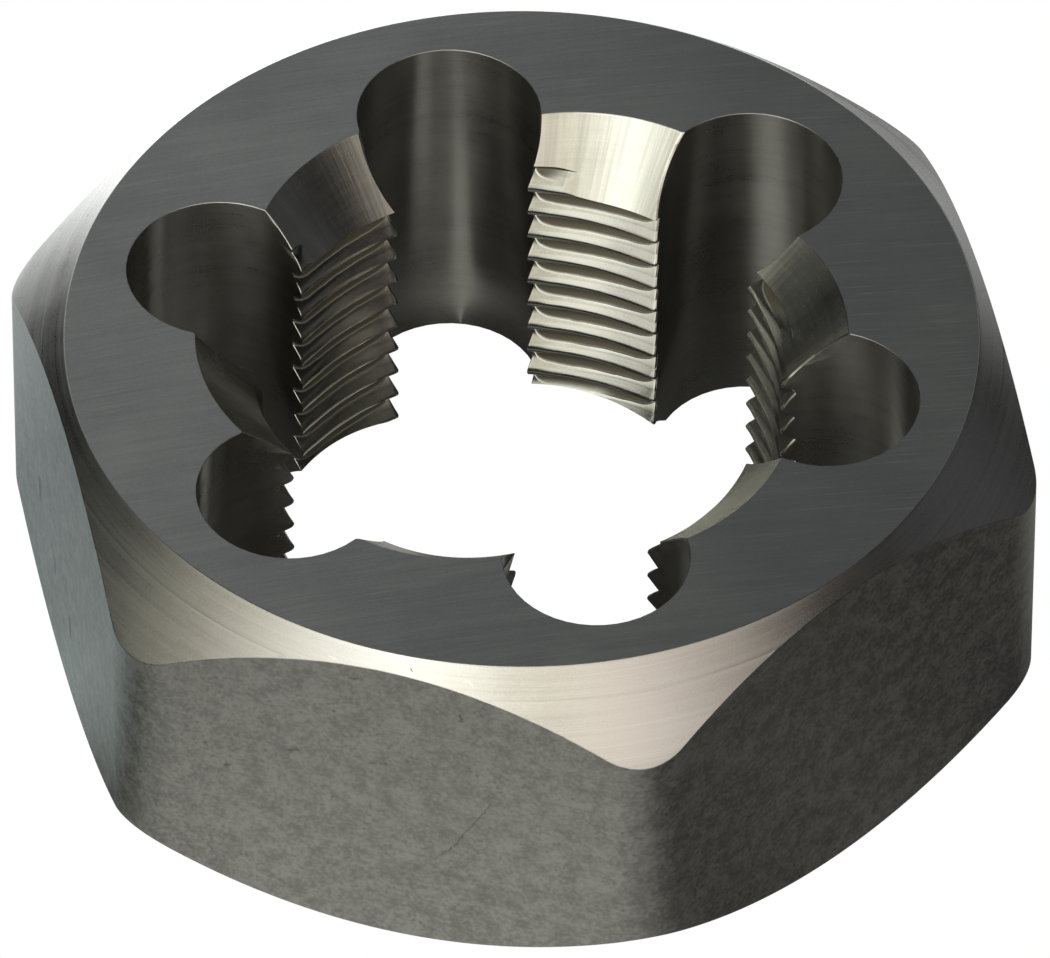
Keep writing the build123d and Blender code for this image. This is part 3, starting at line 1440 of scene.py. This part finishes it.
def flank_group() -> Tree:
    """Return the group that parts a thread's flank into its clean upper land and its root.

    The line between them lies a third of the way down the flank and falls to the root at
    both ends of a land, with the exponential of the distance from the end. Recess is 1
    past the line, where the root gets painted shade, and Line is 1 on it, where the flank
    gets a painted highlight; both fade out where the leads begin.

    Returns:
        The group.
    """
    tree, n, inlet, outlet = new_group("thread_flank")
    socket(tree, "Groove", "Float")
    socket(tree, "End", "Float")
    socket(tree, "Clear", "Float")
    socket(tree, "Place", "Vector")
    socket(tree, "Recess", "Float", output=True)
    socket(tree, "Line", "Float", output=True)
    falling = n.math("EXPONENT", n.math("MULTIPLY", inlet.outputs[1], -1.9))
    line = n.math("ADD", n.math("MULTIPLY", falling, 0.66), 0.34)
    uneven = n.noise(inlet.outputs[3], 900.0, 2.0, 0.5)
    wobble = n.math("MULTIPLY", n.math("SUBTRACT", uneven, 0.5), 0.12)
    past = n.math("SUBTRACT", inlet.outputs[0], n.math("ADD", line, wobble))
    recess = n.span(past, -0.07, 0.09, 0.0, 1.0)
    line = n.span(n.math("ABSOLUTE", past), 0.0, 0.13, 1.0, 0.0)
    n.feed(outlet.inputs[0], n.math("MULTIPLY", recess, inlet.outputs[2]))
    n.feed(outlet.inputs[1], n.math("MULTIPLY", line, inlet.outputs[2]))
    return tree


# How far the noise that frays the short marks moves them, in metres. Half of it is the
# average, which is added to where they start.
FRAY = 0.0004


@dataclass(frozen=True)
class ShortMark:
    """One nick, pit or stretch of a crack, in millimetres on the die."""

    start: Triple
    end: Triple
    width: float
    bright: bool = False

    def placed(self) -> tuple[Vector, Vector, Vector]:
        """Return its start, its line and the line over its squared length, in metres.

        Returns:
            The three vectors.
        """
        start, end = Vector(self.start) * MM, Vector(self.end) * MM
        line = end - start
        return start + Vector((1, 1, 1)) * (FRAY / 2), line, line / line.length_squared


def on_flat(azimuth: float, along: float, height: float) -> Triple:
    """Return the point of a flat at this distance along it and this height.

    Args:
        azimuth: Direction of the flat.
        along: Distance from its middle, anticlockwise.
        height: Height.

    Returns:
        The point.
    """
    a, half = math.radians(azimuth), HexWall.across_flats / 2
    x = half * math.cos(a) - along * math.sin(a)
    y = half * math.sin(a) + along * math.cos(a)
    return x, y, height


def on_top_chamfer(azimuth: float, radius: float) -> Triple:
    """Return the point of the top chamfer at this angle and radius.

    Args:
        azimuth: Angle round the axis.
        radius: Distance from the axis.

    Returns:
        The point.
    """
    a, slope = math.radians(azimuth), math.tan(math.radians(HexWall.top_angle))
    height = HexWall.thickness - (radius - HexWall.top_radius) * slope
    return radius * math.cos(a), radius * math.sin(a), height


# The crack in the front left flat, as distance along the flat and height; the nicks of that
# flat and of the left one follow
CRACK: tuple[Pair, ...] = (
    (3.3, 8.3), (4.58, 9.81), (5.24, 11.32), (6.57, 13.59), (6.90, 14.4),
)
FLAT_MARKS: tuple[ShortMark, ...] = (
    *(ShortMark(on_flat(-120, *a), on_flat(-120, *b), 0.1) for a, b in zip(CRACK, CRACK[1:])),
    *(
        ShortMark(on_flat(-120, along, z), on_flat(-120, along + dx, z + dz), width)
        for along, z, dx, dz, width in (
            (4.92, 22.06, 0.1, -0.5, 0.22), (-10.65, 12.65, 0.3, 0.2, 0.2),
            (-6.32, 15.38, 0.5, 0.2, 0.22), (-2.31, 23.25, 0.6, 0.15, 0.16),
        )
    ),
    *(
        ShortMark(on_flat(180, along, z), on_flat(180, along, z - drop), width)
        for along, z, drop, width in (
            (-7.23, 11.77, 1.6, 0.5), (-2.98, 8.64, 1.0, 0.45), (1.41, 7.53, 1.3, 0.5),
        )
    ),
)
# The nicks of the top chamfer: angle, radius, what each gains in both, width, and look
CHAMFER_MARKS: tuple[ShortMark, ...] = tuple(
    ShortMark(
        on_top_chamfer(azimuth, radius),
        on_top_chamfer(azimuth + turn, radius + out),
        width,
        bright,
    )
    for azimuth, radius, turn, out, width, bright in (
        (-136.8, 31.7, 0.8, -0.2, 0.16, True), (-129.8, 30.7, 0.5, -0.15, 0.12, True),
        (-127.1, 30.1, 0.9, -0.05, 0.14, True), (-110.3, 30.0, 0.8, 0.1, 0.14, True),
        (-103.6, 30.9, 0.5, 0.1, 0.14, True), (-89.75, 32.77, 0.5, 0.0, 0.16, True),
        (-117.0, 29.7, 0.4, 0.25, 0.07, False), (-96.0, 30.1, 0.3, 0.2, 0.07, False),
        (111.1, 29.9, 0.6, 0.0, 0.16, False), (144.2, 30.2, 0.4, 0.0, 0.14, False),
        (143.8, 32.1, 0.5, 0.1, 0.16, False), (-178.0, 30.9, 1.4, 0.05, 0.14, True),
        (-172.0, 30.5, 0.7, 0.15, 0.12, True), (171.0, 30.3, 1.6, -0.05, 0.12, True),
    )
)


# The part of the noises' range in which a finish goes from dark to light
MIX_SPAN: Pair = (0.38, 0.62)
# How deep pits, chatter and the roots with their painted shade lie in the relief, in millimetres
PIT_DEPTH, CHATTER_DEPTH, ROOT_DEPTH = 0.03, 0.03, 0.03
# Painted shade for the thread's roots, dark and brown, and a painted highlight line for the flanks
ROOT_PAINTED_SHADE: tuple[float, ...] = (0.135, 0.12, 0.08, 1.0)
FLANK_PAINTED_HIGHLIGHT: tuple[float, ...] = (0.9, 0.89, 0.85, 1.0)
# Share of the colour and depth in millimetres of a short mark, bright and dark
BRIGHT_MARK: Pair = (0.8, 0.004)
DARK_MARK: Pair = (0.6, 0.012)


@dataclass(frozen=True)
class SteelFinish:
    """How one kind of machined surface of the die looks; lengths are in millimetres."""

    name: str
    dark: Triple
    light: Triple
    roughness: Pair
    anisotropy: float
    line_width: float
    line_length: float
    line_depth: float
    cloud_size: float
    cloud_share: float
    grain_size: float
    grain_share: float
    grain_depth: float
    cloud_depth: float = 0.0
    pit_share: float = 0.0
    scratch_share: float = 0.0
    # The worn edges
    worn: Triple = (0.86, 0.85, 0.82)
    worn_share: float = 0.5
    # Chatter across the lines, and the painted root shade and flank highlight line of a thread
    chatter: float = 0.0
    grooved: bool = False
    # Painted shade: how much the colour darkens across the die, and which way and how far
    painted_shade: float = 0.0
    painted_shade_way: Triple = (0.95, -0.31, 0.0)
    painted_shade_reach: float = 30.0
    marks: tuple[ShortMark, ...] = ()

    def shade(self, share: float) -> tuple[float, ...]:
        """Return this share of the dark colour, as red, green, blue and 1."""
        return tuple(share * c for c in self.dark) + (1.0,)

    def material(self, groups: dict[str, Tree]) -> bpy.types.Material:
        """Return the finish's material.

        The base colour runs from dark to light with clouds, tool bands and grain, then
        takes a painted shade across the die, the scratches, pits, the roots' painted shade and
        the flanks' painted highlight line, marks and worn edges. The relief is added up in
        millimetres and feeds one bump.

        Args:
            groups: The shared node groups by name.

        Returns:
            The material.
        """
        material = bpy.data.materials.new(self.name)
        material.use_nodes = True
        tree = material.node_tree
        tree.nodes.clear()
        n = Nodes(tree)
        lay = n.add("UVMap", uv_map="lay").outputs[0]
        place = n.add("TexCoord").outputs["Object"]
        tool = n.use(groups["tool_marks"], lay, self.line_width, self.line_length)
        skin = n.use(groups["clouds_and_pits"], place, self.cloud_size, self.grain_size)
        mixed = n.weighed(
            (skin["Clouds"], self.cloud_share),
            (tool["Bands"], 1.0 - self.cloud_share - self.grain_share),
            (skin["Grain"], self.grain_share),
        )
        lightness = n.span(mixed, *MIX_SPAN, 0.0, 1.0)
        colour = n.blend(lightness, (*self.dark, 1.0), (*self.light, 1.0))
        relief = n.weighed(
            (tool["Height"], self.line_depth),
            (skin["Grain"], self.grain_depth),
            (skin["Clouds"], self.cloud_depth),
        )
        # Painted shade: the colour darkens across the die towards one side
        if self.painted_shade:
            reach = self.painted_shade_reach * MM
            across = n.span(n.dot(place, self.painted_shade_way), -reach, reach, 0.0, self.painted_shade)
            colour = n.blend(across, colour, self.shade(0.35))
        if self.chatter:
            colour, relief = self.add_chatter(n, groups, lay, colour, relief)
        if self.scratch_share:
            scratched = n.math("MULTIPLY", tool["Scratches"], self.scratch_share)
            colour = n.blend(scratched, colour, (*self.worn, 1.0))
        if self.pit_share:
            pitted = n.math("MULTIPLY", skin["Pits"], self.pit_share)
            colour = n.blend(pitted, colour, self.shade(0.3))
            relief = n.math("SUBTRACT", relief, n.math("MULTIPLY", pitted, PIT_DEPTH))
        dull: object = 0.0
        if self.grooved:
            colour, relief, dull = self.add_root(n, groups, place, colour, relief)
        colour, relief = self.add_marks(n, groups, place, colour, relief)
        worn = n.use(groups["edge_wear"], place, n.mark(Mark.WEAR))["Worn"]
        colour = n.blend(n.math("MULTIPLY", worn, self.worn_share), colour, (*self.worn, 1.0))
        shader = n.add("BsdfPrincipled")
        n.feed(shader.inputs["Base Color"], colour)
        n.feed(shader.inputs["Metallic"], n.math("SUBTRACT", 1.0, n.math("MULTIPLY", dull, 0.6)))
        rough = n.span(mixed, *MIX_SPAN, *self.roughness)
        n.feed(shader.inputs["Roughness"], n.math("ADD", rough, n.math("MULTIPLY", dull, 0.3)))
        shader.inputs["Anisotropic"].default_value = self.anisotropy
        shader.inputs["Anisotropic Rotation"].default_value = 0.25
        tangent = n.add("Tangent", direction_type="UV_MAP", uv_map="lay")
        n.feed(shader.inputs["Tangent"], tangent.outputs[0])
        bump = n.add("Bump")
        bump.inputs["Strength"].default_value = 1.0
        bump.inputs["Distance"].default_value = MM
        n.feed(bump.inputs["Height"], relief)
        n.feed(shader.inputs["Normal"], bump.outputs[0])
        n.feed(n.add("OutputMaterial").inputs[0], shader.outputs[0])
        return material

    def add_chatter(
        self, n: Nodes, groups: dict[str, Tree], lay: object, colour: object, relief: object
    ) -> tuple[object, object]:
        """Add the streaks of a chattering cutter, square to its lines.

        Args:
            n: Node maker of the material.
            groups: The shared node groups by name.
            lay: The pattern coordinates.
            colour: The colour so far.
            relief: The relief so far, in millimetres.

        Returns:
            The new colour and relief.
        """
        turned = n.add("VectorRotate", rotation_type="Z_AXIS")
        n.feed(turned.inputs["Vector"], lay)
        turned.inputs["Angle"].default_value = math.pi / 2
        streaks = n.use(groups["tool_marks"], turned.outputs[0], 0.22, 5.0)
        share = n.span(streaks["Bands"], 0.4, 0.56, self.chatter, 0.0)
        colour = n.blend(share, colour, self.shade(0.62))
        depth = n.math("MULTIPLY", streaks["Height"], CHATTER_DEPTH * self.chatter)
        return colour, n.math("ADD", relief, depth)

    def add_root(
        self, n: Nodes, groups: dict[str, Tree], place: object, colour: object, relief: object
    ) -> tuple[object, object, object]:
        """Add a painted highlight line on each flank and painted shade in the thread's roots.

        Args:
            n: Node maker of the material.
            groups: The shared node groups by name.
            place: The place on the die, in metres.
            colour: The colour so far.
            relief: The relief so far, in millimetres.

        Returns:
            The new colour and relief, and 1 where the roots' painted shade dulls the steel.
        """
        groove, end, clear = (n.mark(m) for m in (Mark.GROOVE, Mark.LAND_END, Mark.CLEAR))
        flank = n.use(groups["thread_flank"], groove, end, clear, place)
        colour = n.blend(n.span(groove, 0.0, 0.05, 0.2, 0.0), colour, (*self.worn, 1.0))
        # Painted shade past the line, where the roots lie in the shadow of the tooth above
        colour = n.blend(n.math("MULTIPLY", flank["Recess"], 0.9), colour, ROOT_PAINTED_SHADE)
        # Painted highlight along the line on the flank
        colour = n.blend(n.math("MULTIPLY", flank["Line"], 0.4), colour, FLANK_PAINTED_HIGHLIGHT)
        relief = n.math("ADD", relief, n.math("MULTIPLY", flank["Recess"], ROOT_DEPTH))
        return colour, relief, flank["Recess"]

    def add_marks(
        self, n: Nodes, groups: dict[str, Tree], place: object, colour: object, relief: object
    ) -> tuple[object, object]:
        """Add the finish's own nicks, pits and cracks, frayed by a noise.

        Args:
            n: Node maker of the material.
            groups: The shared node groups by name.
            place: The place on the die, in metres.
            colour: The colour so far.
            relief: The relief so far, in millimetres.

        Returns:
            The new colour and relief.
        """
        if not self.marks:
            return colour, relief
        fray = n.add("TexNoise")
        n.feed(fray.inputs["Vector"], place)
        fray.inputs["Scale"].default_value = 3000.0
        frayed = n.add_scaled(place, (FRAY, FRAY, FRAY), fray.outputs["Color"])
        for bright in (False, True):
            found: object = None
            for mark in self.marks:
                if mark.bright != bright:
                    continue
                drawn = n.use(groups["short_mark"], frayed, *mark.placed(), mark.width * MM)
                drawn = drawn["Mark"]
                found = drawn if found is None else n.math("MAXIMUM", found, drawn)
            if found is not None:
                tone = (*self.worn, 1.0) if bright else self.shade(0.35)
                share, depth = BRIGHT_MARK if bright else DARK_MARK
                colour = n.blend(n.math("MULTIPLY", found, share), colour, tone)
                relief = n.math("SUBTRACT", relief, n.math("MULTIPLY", found, depth))
        return colour, relief


FINISHES: tuple[SteelFinish, ...] = (
    SteelFinish(
        "die_steel_ground_face", (0.38, 0.385, 0.385), (0.49, 0.495, 0.495), (0.28, 0.36), 0.55,
        line_width=0.07, line_length=4.0, line_depth=0.0012, cloud_size=14.0, cloud_share=0.35,
        grain_size=0.16, grain_share=0.2, grain_depth=0.0008, scratch_share=0.12,
        worn_share=0.25, painted_shade=0.65,
    ),
    SteelFinish(
        "die_steel_side_flat", (0.35, 0.35, 0.34), (0.54, 0.54, 0.53), (0.42, 0.52), 0.15,
        line_width=0.12, line_length=2.0, line_depth=0.002, cloud_size=1.3, cloud_share=0.4,
        cloud_depth=0.02, grain_size=0.3, grain_share=0.4, grain_depth=0.006, pit_share=0.4,
        marks=FLAT_MARKS,
    ),
    SteelFinish(
        "die_steel_turned_chamfer", (0.55, 0.54, 0.53), (0.74, 0.73, 0.72), (0.26, 0.36), 0.6,
        line_width=0.08, line_length=14.0, line_depth=0.003, cloud_size=5.0, cloud_share=0.25,
        grain_size=0.16, grain_share=0.2, grain_depth=0.002, scratch_share=0.3, marks=CHAMFER_MARKS,
    ),
    SteelFinish(
        "die_steel_flute_wall", (0.29, 0.285, 0.27), (0.38, 0.375, 0.36), (0.27, 0.31), 1.0,
        line_width=0.12, line_length=8.0, line_depth=0.002, cloud_size=6.0, cloud_share=0.5,
        grain_size=0.16, grain_share=0.15, grain_depth=0.0005, worn_share=0.3,
    ),
    SteelFinish(
        "die_steel_cut_thread", (0.34, 0.34, 0.315), (0.435, 0.435, 0.41), (0.16, 0.24), 0.2,
        line_width=0.09, line_length=5.0, line_depth=0.0015, cloud_size=2.0, cloud_share=0.4,
        grain_size=0.16, grain_share=0.25, grain_depth=0.002, worn_share=0.55, grooved=True,
    ),
    SteelFinish(
        "die_steel_turned_lead", (0.52, 0.52, 0.49), (0.62, 0.62, 0.59), (0.22, 0.28), 0.4,
        line_width=0.1, line_length=6.0, line_depth=0.0015, cloud_size=2.5, cloud_share=0.4,
        grain_size=0.14, grain_share=0.15, grain_depth=0.001, worn_share=0.7, chatter=0.35,
    ),
)


# ---------------------------------------------------------------- studio


def heading(azimuth: float, elevation: float = 0.0) -> Triple:
    """Return the unit vector at this azimuth and elevation, both in degrees."""
    a, e = math.radians(azimuth), math.radians(elevation)
    return math.cos(a) * math.cos(e), math.sin(a) * math.cos(e), math.sin(e)


@dataclass(frozen=True)
class SoftBox:
    """One soft patch of the studio's surroundings: full out to its core, none at its reach."""

    azimuth: float
    elevation: float
    core: float
    reach: float
    colour: Triple


@dataclass(frozen=True)
class FloorGlow:
    """The light that one side of the white floor throws back at the die."""

    azimuth: float
    near: bool
    colour: Triple
    reach: float = 45.0


@dataclass(frozen=True)
class FloorPatch:
    """A round patch of light on the floor under the die, in millimetres: full out to its core."""

    x: float
    y: float
    core: float
    reach: float
    colour: Triple


@dataclass(frozen=True)
class FloorBeam:
    """A beam of light on the floor under the die, in millimetres, that spreads and fades."""

    x: float
    y: float
    azimuth: float
    reach: float
    fade: Pair
    colour: Triple


SOFT_BOXES: tuple[SoftBox, ...] = (
    SoftBox(0, 6, 5, 30, (0.069, 0.070, 0.073)),
    SoftBox(90, 6, 5, 30, (0.823, 0.846, 0.839)),
    SoftBox(-120, 6, 5, 30, (0.607, 0.606, 0.586)),
    SoftBox(75, 28, 5, 30, (0.302, 0.324, 0.322)),
    SoftBox(105, 28, 5, 30, (0.243, 0.254, 0.219)),
    SoftBox(165, 28, 5, 30, (0.077, 0.080, 0.068)),
    SoftBox(-165, 28, 5, 30, (0.270, 0.256, 0.200)),
    SoftBox(-135, 28, 5, 30, (0.640, 0.640, 0.586)),
    SoftBox(-105, 28, 5, 30, (0.441, 0.415, 0.337)),
    SoftBox(-75, 28, 5, 27, (0.519, 0.465, 0.434)),
    SoftBox(-45, 28, 5, 30, (0.045, 0.040, 0.036)),
    SoftBox(-160, 49, 5, 30, (0.557, 0.558, 0.468)),
    SoftBox(-120, 49, 5, 30, (0.609, 0.606, 0.505)),
    SoftBox(-80, 49, 5, 30, (0.350, 0.300, 0.222)),
    SoftBox(-46, 45, 4, 16, (0.460, 0.418, 0.357)),
    SoftBox(-108, 69, 5, 30, (0.507, 0.505, 0.428)),
    SoftBox(-79, 35, 3, 14, (0.467, 0.440, 0.430)),
    SoftBox(-120, 36, 3, 14, (0.231, 0.233, 0.223)),
    SoftBox(-154, 69, 3, 14, (0.315, 0.320, 0.299)),
    SoftBox(-135, 58, 3, 11, (1.4, 1.4, 1.35)),
    SoftBox(-139, 43, 5, 15, (0.55, 0.55, 0.54)),
    SoftBox(-158, 30, 4, 15, (0.240, 0.235, 0.205)),
)

FLOOR_GLOWS: tuple[FloorGlow, ...] = (
    FloorGlow(88, False, (3.0, 3.05, 3.05), 32.0),
    FloorGlow(-165, True, (0.044, 0.050, 0.043)),
    FloorGlow(-120, True, (0.409, 0.408, 0.369)),
    FloorGlow(-75, True, (0.058, 0.058, 0.051)),
    FloorGlow(-30, True, (0.043, 0.042, 0.041)),
    FloorGlow(15, True, (0.272, 0.275, 0.248)),
    FloorGlow(105, True, (1.130, 1.160, 1.155)),
    FloorGlow(150, True, (0.330, 0.385, 0.390)),
    FloorGlow(-176, True, (0.180, 0.205, 0.205), 15.0),
    FloorGlow(60, False, (0.538, 0.550, 0.540)),
)

FLOOR_PATCHES: tuple[FloorPatch, ...] = (
    FloorPatch(-3.0, 4.0, 4.0, 11.0, (0.17, 0.17, 0.155)),
    FloorPatch(8.5, 2.5, 2.0, 8.0, (0.9, 0.9, 0.82)),
)

FLOOR_BEAMS: tuple[FloorBeam, ...] = (
    FloorBeam(2.06, 25.8, -118.5, 10.0, (15.0, 20.0), (0.47, 0.47, 0.425)),
)


@dataclass
class Studio:
    """Floor, surroundings and camera."""

    # The camera, as it was fitted to the photograph; its lens and eye are in millimetres
    lens: float = 645.529
    sensor: float = 36.0
    shift: Pair = (-0.0034, -0.00082)
    clip: Pair = (0.05, 60.0)
    eye: Triple = (-196.864, -816.875, 886.729)
    right: Triple = (0.97256703, -0.23261257, 0.00218183)
    back: Triple = (-0.16267647, -0.67339577, 0.72116192)
    # The floor: its side in metres, the radii between which its near part ends, and the
    # radius and the dim light of the part under the die, a painted shadow
    floor_size: float = 8.0
    near_edge: Pair = (60.0, 110.0)
    under_die: tuple[float, Triple] = (29.5, (0.065, 0.065, 0.06))
    # The light of the room without its patches
    ambient: Triple = (0.012, 0.012, 0.012)

    def camera(self) -> bpy.types.Object:
        """Return the camera, placed where the photograph was taken from.

        Returns:
            The camera.
        """
        data = bpy.data.cameras.new("camera")
        data.lens, data.sensor_width = self.lens, self.sensor
        data.shift_x, data.shift_y = self.shift
        data.clip_start, data.clip_end = self.clip
        camera = bpy.data.objects.new("camera", data)
        bpy.context.scene.collection.objects.link(camera)
        right, back = Vector(self.right).normalized(), Vector(self.back).normalized()
        up = back.cross(right).normalized()
        turn = Matrix((right, up, back)).transposed().to_4x4()
        camera.matrix_world = Matrix.Translation(Vector(self.eye) * MM) @ turn
        bpy.context.scene.camera = camera
        return camera

    def floor(self) -> bpy.types.Object:
        """Return the floor: white to the camera, with its own glow for the steel to mirror.

        Returns:
            The floor's object.
        """
        half = self.floor_size / 2
        mesh = bpy.data.meshes.new("studio_floor")
        corners = [(-half, -half, 0.0), (half, -half, 0.0), (half, half, 0.0), (-half, half, 0.0)]
        mesh.from_pydata(corners, [], [(0, 1, 2, 3)])
        floor = bpy.data.objects.new("studio_floor", mesh)
        bpy.context.scene.collection.objects.link(floor)
        material = bpy.data.materials.new("studio_floor_white")
        material.use_nodes = True
        material.node_tree.nodes.clear()
        n = Nodes(material.node_tree)
        seen = n.add("Emission")
        seen.inputs["Color"].default_value = (1.0, 1.0, 1.0, 1.0)
        seen.inputs["Strength"].default_value = 1.0
        mirrored = n.add("Emission")
        n.feed(mirrored.inputs["Color"], self.floor_glow(n))
        mixer = n.add("MixShader")
        n.feed(mixer.inputs[0], n.add("LightPath").outputs["Is Camera Ray"])
        n.feed(mixer.inputs[1], mirrored.outputs[0])
        n.feed(mixer.inputs[2], seen.outputs[0])
        n.feed(n.add("OutputMaterial").inputs[0], mixer.outputs[0])
        mesh.materials.append(material)
        return floor

    def floor_glow(self, n: Nodes) -> Socket:
        """Return the colour of the floor's glow.

        Each side adds its colour times a smooth step of the cosine between the point's
        direction and the side's own, near the die or far from it. The floor under the die
        is dark with a painted shadow, with patches and a beam in it of painted light that
        falls through the bore.

        Args:
            n: Node maker of the floor's material.

        Returns:
            The colour's output.
        """
        place = n.vector("MULTIPLY", n.add("TexCoord").outputs["Object"], (1.0, 1.0, 0.0))
        place = place["Vector"]
        pointing = n.vector("NORMALIZE", place)["Vector"]
        radius = n.vector("LENGTH", place)["Value"]
        start, end = self.near_edge
        far = n.span(radius, start * MM, end * MM, 0.0, 1.0)
        near = n.math("SUBTRACT", 1.0, far)
        total: object = (0.0, 0.0, 0.0)
        for glow in FLOOR_GLOWS:
            side = n.dot(pointing, heading(glow.azimuth))
            share = n.span(side, math.cos(math.radians(glow.reach)), 1.0, 0.0, 1.0)
            share = n.math("MULTIPLY", share, near if glow.near else far)
            total = n.add_scaled(total, glow.colour, share)
        # The painted shadow under the die, lit by painted patches and beams
        reach, colour = self.under_die
        under: object = colour
        for patch in FLOOR_PATCHES:
            away = n.vector("DISTANCE", place, (patch.x * MM, patch.y * MM, 0.0))["Value"]
            lit = n.span(away, patch.core * MM, patch.reach * MM, 1.0, 0.0)
            under = n.add_scaled(under, patch.colour, lit)
        for beam in FLOOR_BEAMS:
            spread = n.vector("SUBTRACT", place, (beam.x * MM, beam.y * MM, 0.0))["Vector"]
            side = n.dot(n.vector("NORMALIZE", spread)["Vector"], heading(beam.azimuth))
            lit = n.span(side, math.cos(math.radians(beam.reach)), 1.0, 0.0, 1.0)
            start, end = beam.fade
            away = n.vector("LENGTH", spread)["Value"]
            lit = n.math("MULTIPLY", lit, n.span(away, start * MM, end * MM, 1.0, 0.0))
            under = n.add_scaled(under, beam.colour, lit)
        return n.blend(n.math("LESS_THAN", radius, reach * MM), total, under)

    def surroundings(self) -> bpy.types.World:
        """Return the world: a dim room with soft bright patches.

        Each patch adds its colour times a smooth step of the cosine between the looking
        direction and the patch's own.

        Returns:
            The world.
        """
        world = bpy.data.worlds.new("studio")
        bpy.context.scene.world = world
        world.use_nodes = True
        world.node_tree.nodes.clear()
        n = Nodes(world.node_tree)
        looking = n.add("TexCoord").outputs["Generated"]
        total: object = self.ambient
        for box in SOFT_BOXES:
            low, high = math.cos(math.radians(box.reach)), math.cos(math.radians(box.core))
            side = n.dot(looking, heading(box.azimuth, box.elevation))
            share = n.span(side, low, high, 0.0, 1.0)
            total = n.add_scaled(total, box.colour, share)
        background = n.add("Background")
        n.feed(background.inputs["Color"], total)
        n.feed(n.add("OutputWorld").inputs[0], background.outputs[0])
        return world

    def exposure(self) -> None:
        """Show light as it is, without a film curve."""
        settings = bpy.context.scene.view_settings
        settings.view_transform = "Standard"
        settings.look = "None"


def main() -> None:
    """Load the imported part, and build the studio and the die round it."""
    logging.basicConfig(level=logging.INFO, format="%(name)s: %(message)s")
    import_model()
    studio = Studio()
    studio.exposure()
    studio.camera()
    studio.surroundings()
    LOG.info("studio floor: %s", studio.floor().name)
    groups = {
        "tool_marks": tool_marks_group(),
        "clouds_and_pits": blotches_group(),
        "edge_wear": edge_wear_group(),
        "short_mark": short_mark_group(),
        "thread_flank": flank_group(),
    }
    die = DieBody().build([finish.material(groups) for finish in FINISHES])
    LOG.info("%s: %d triangles", die.name, len(die.data.polygons))


if __name__ == "__main__":
    main()
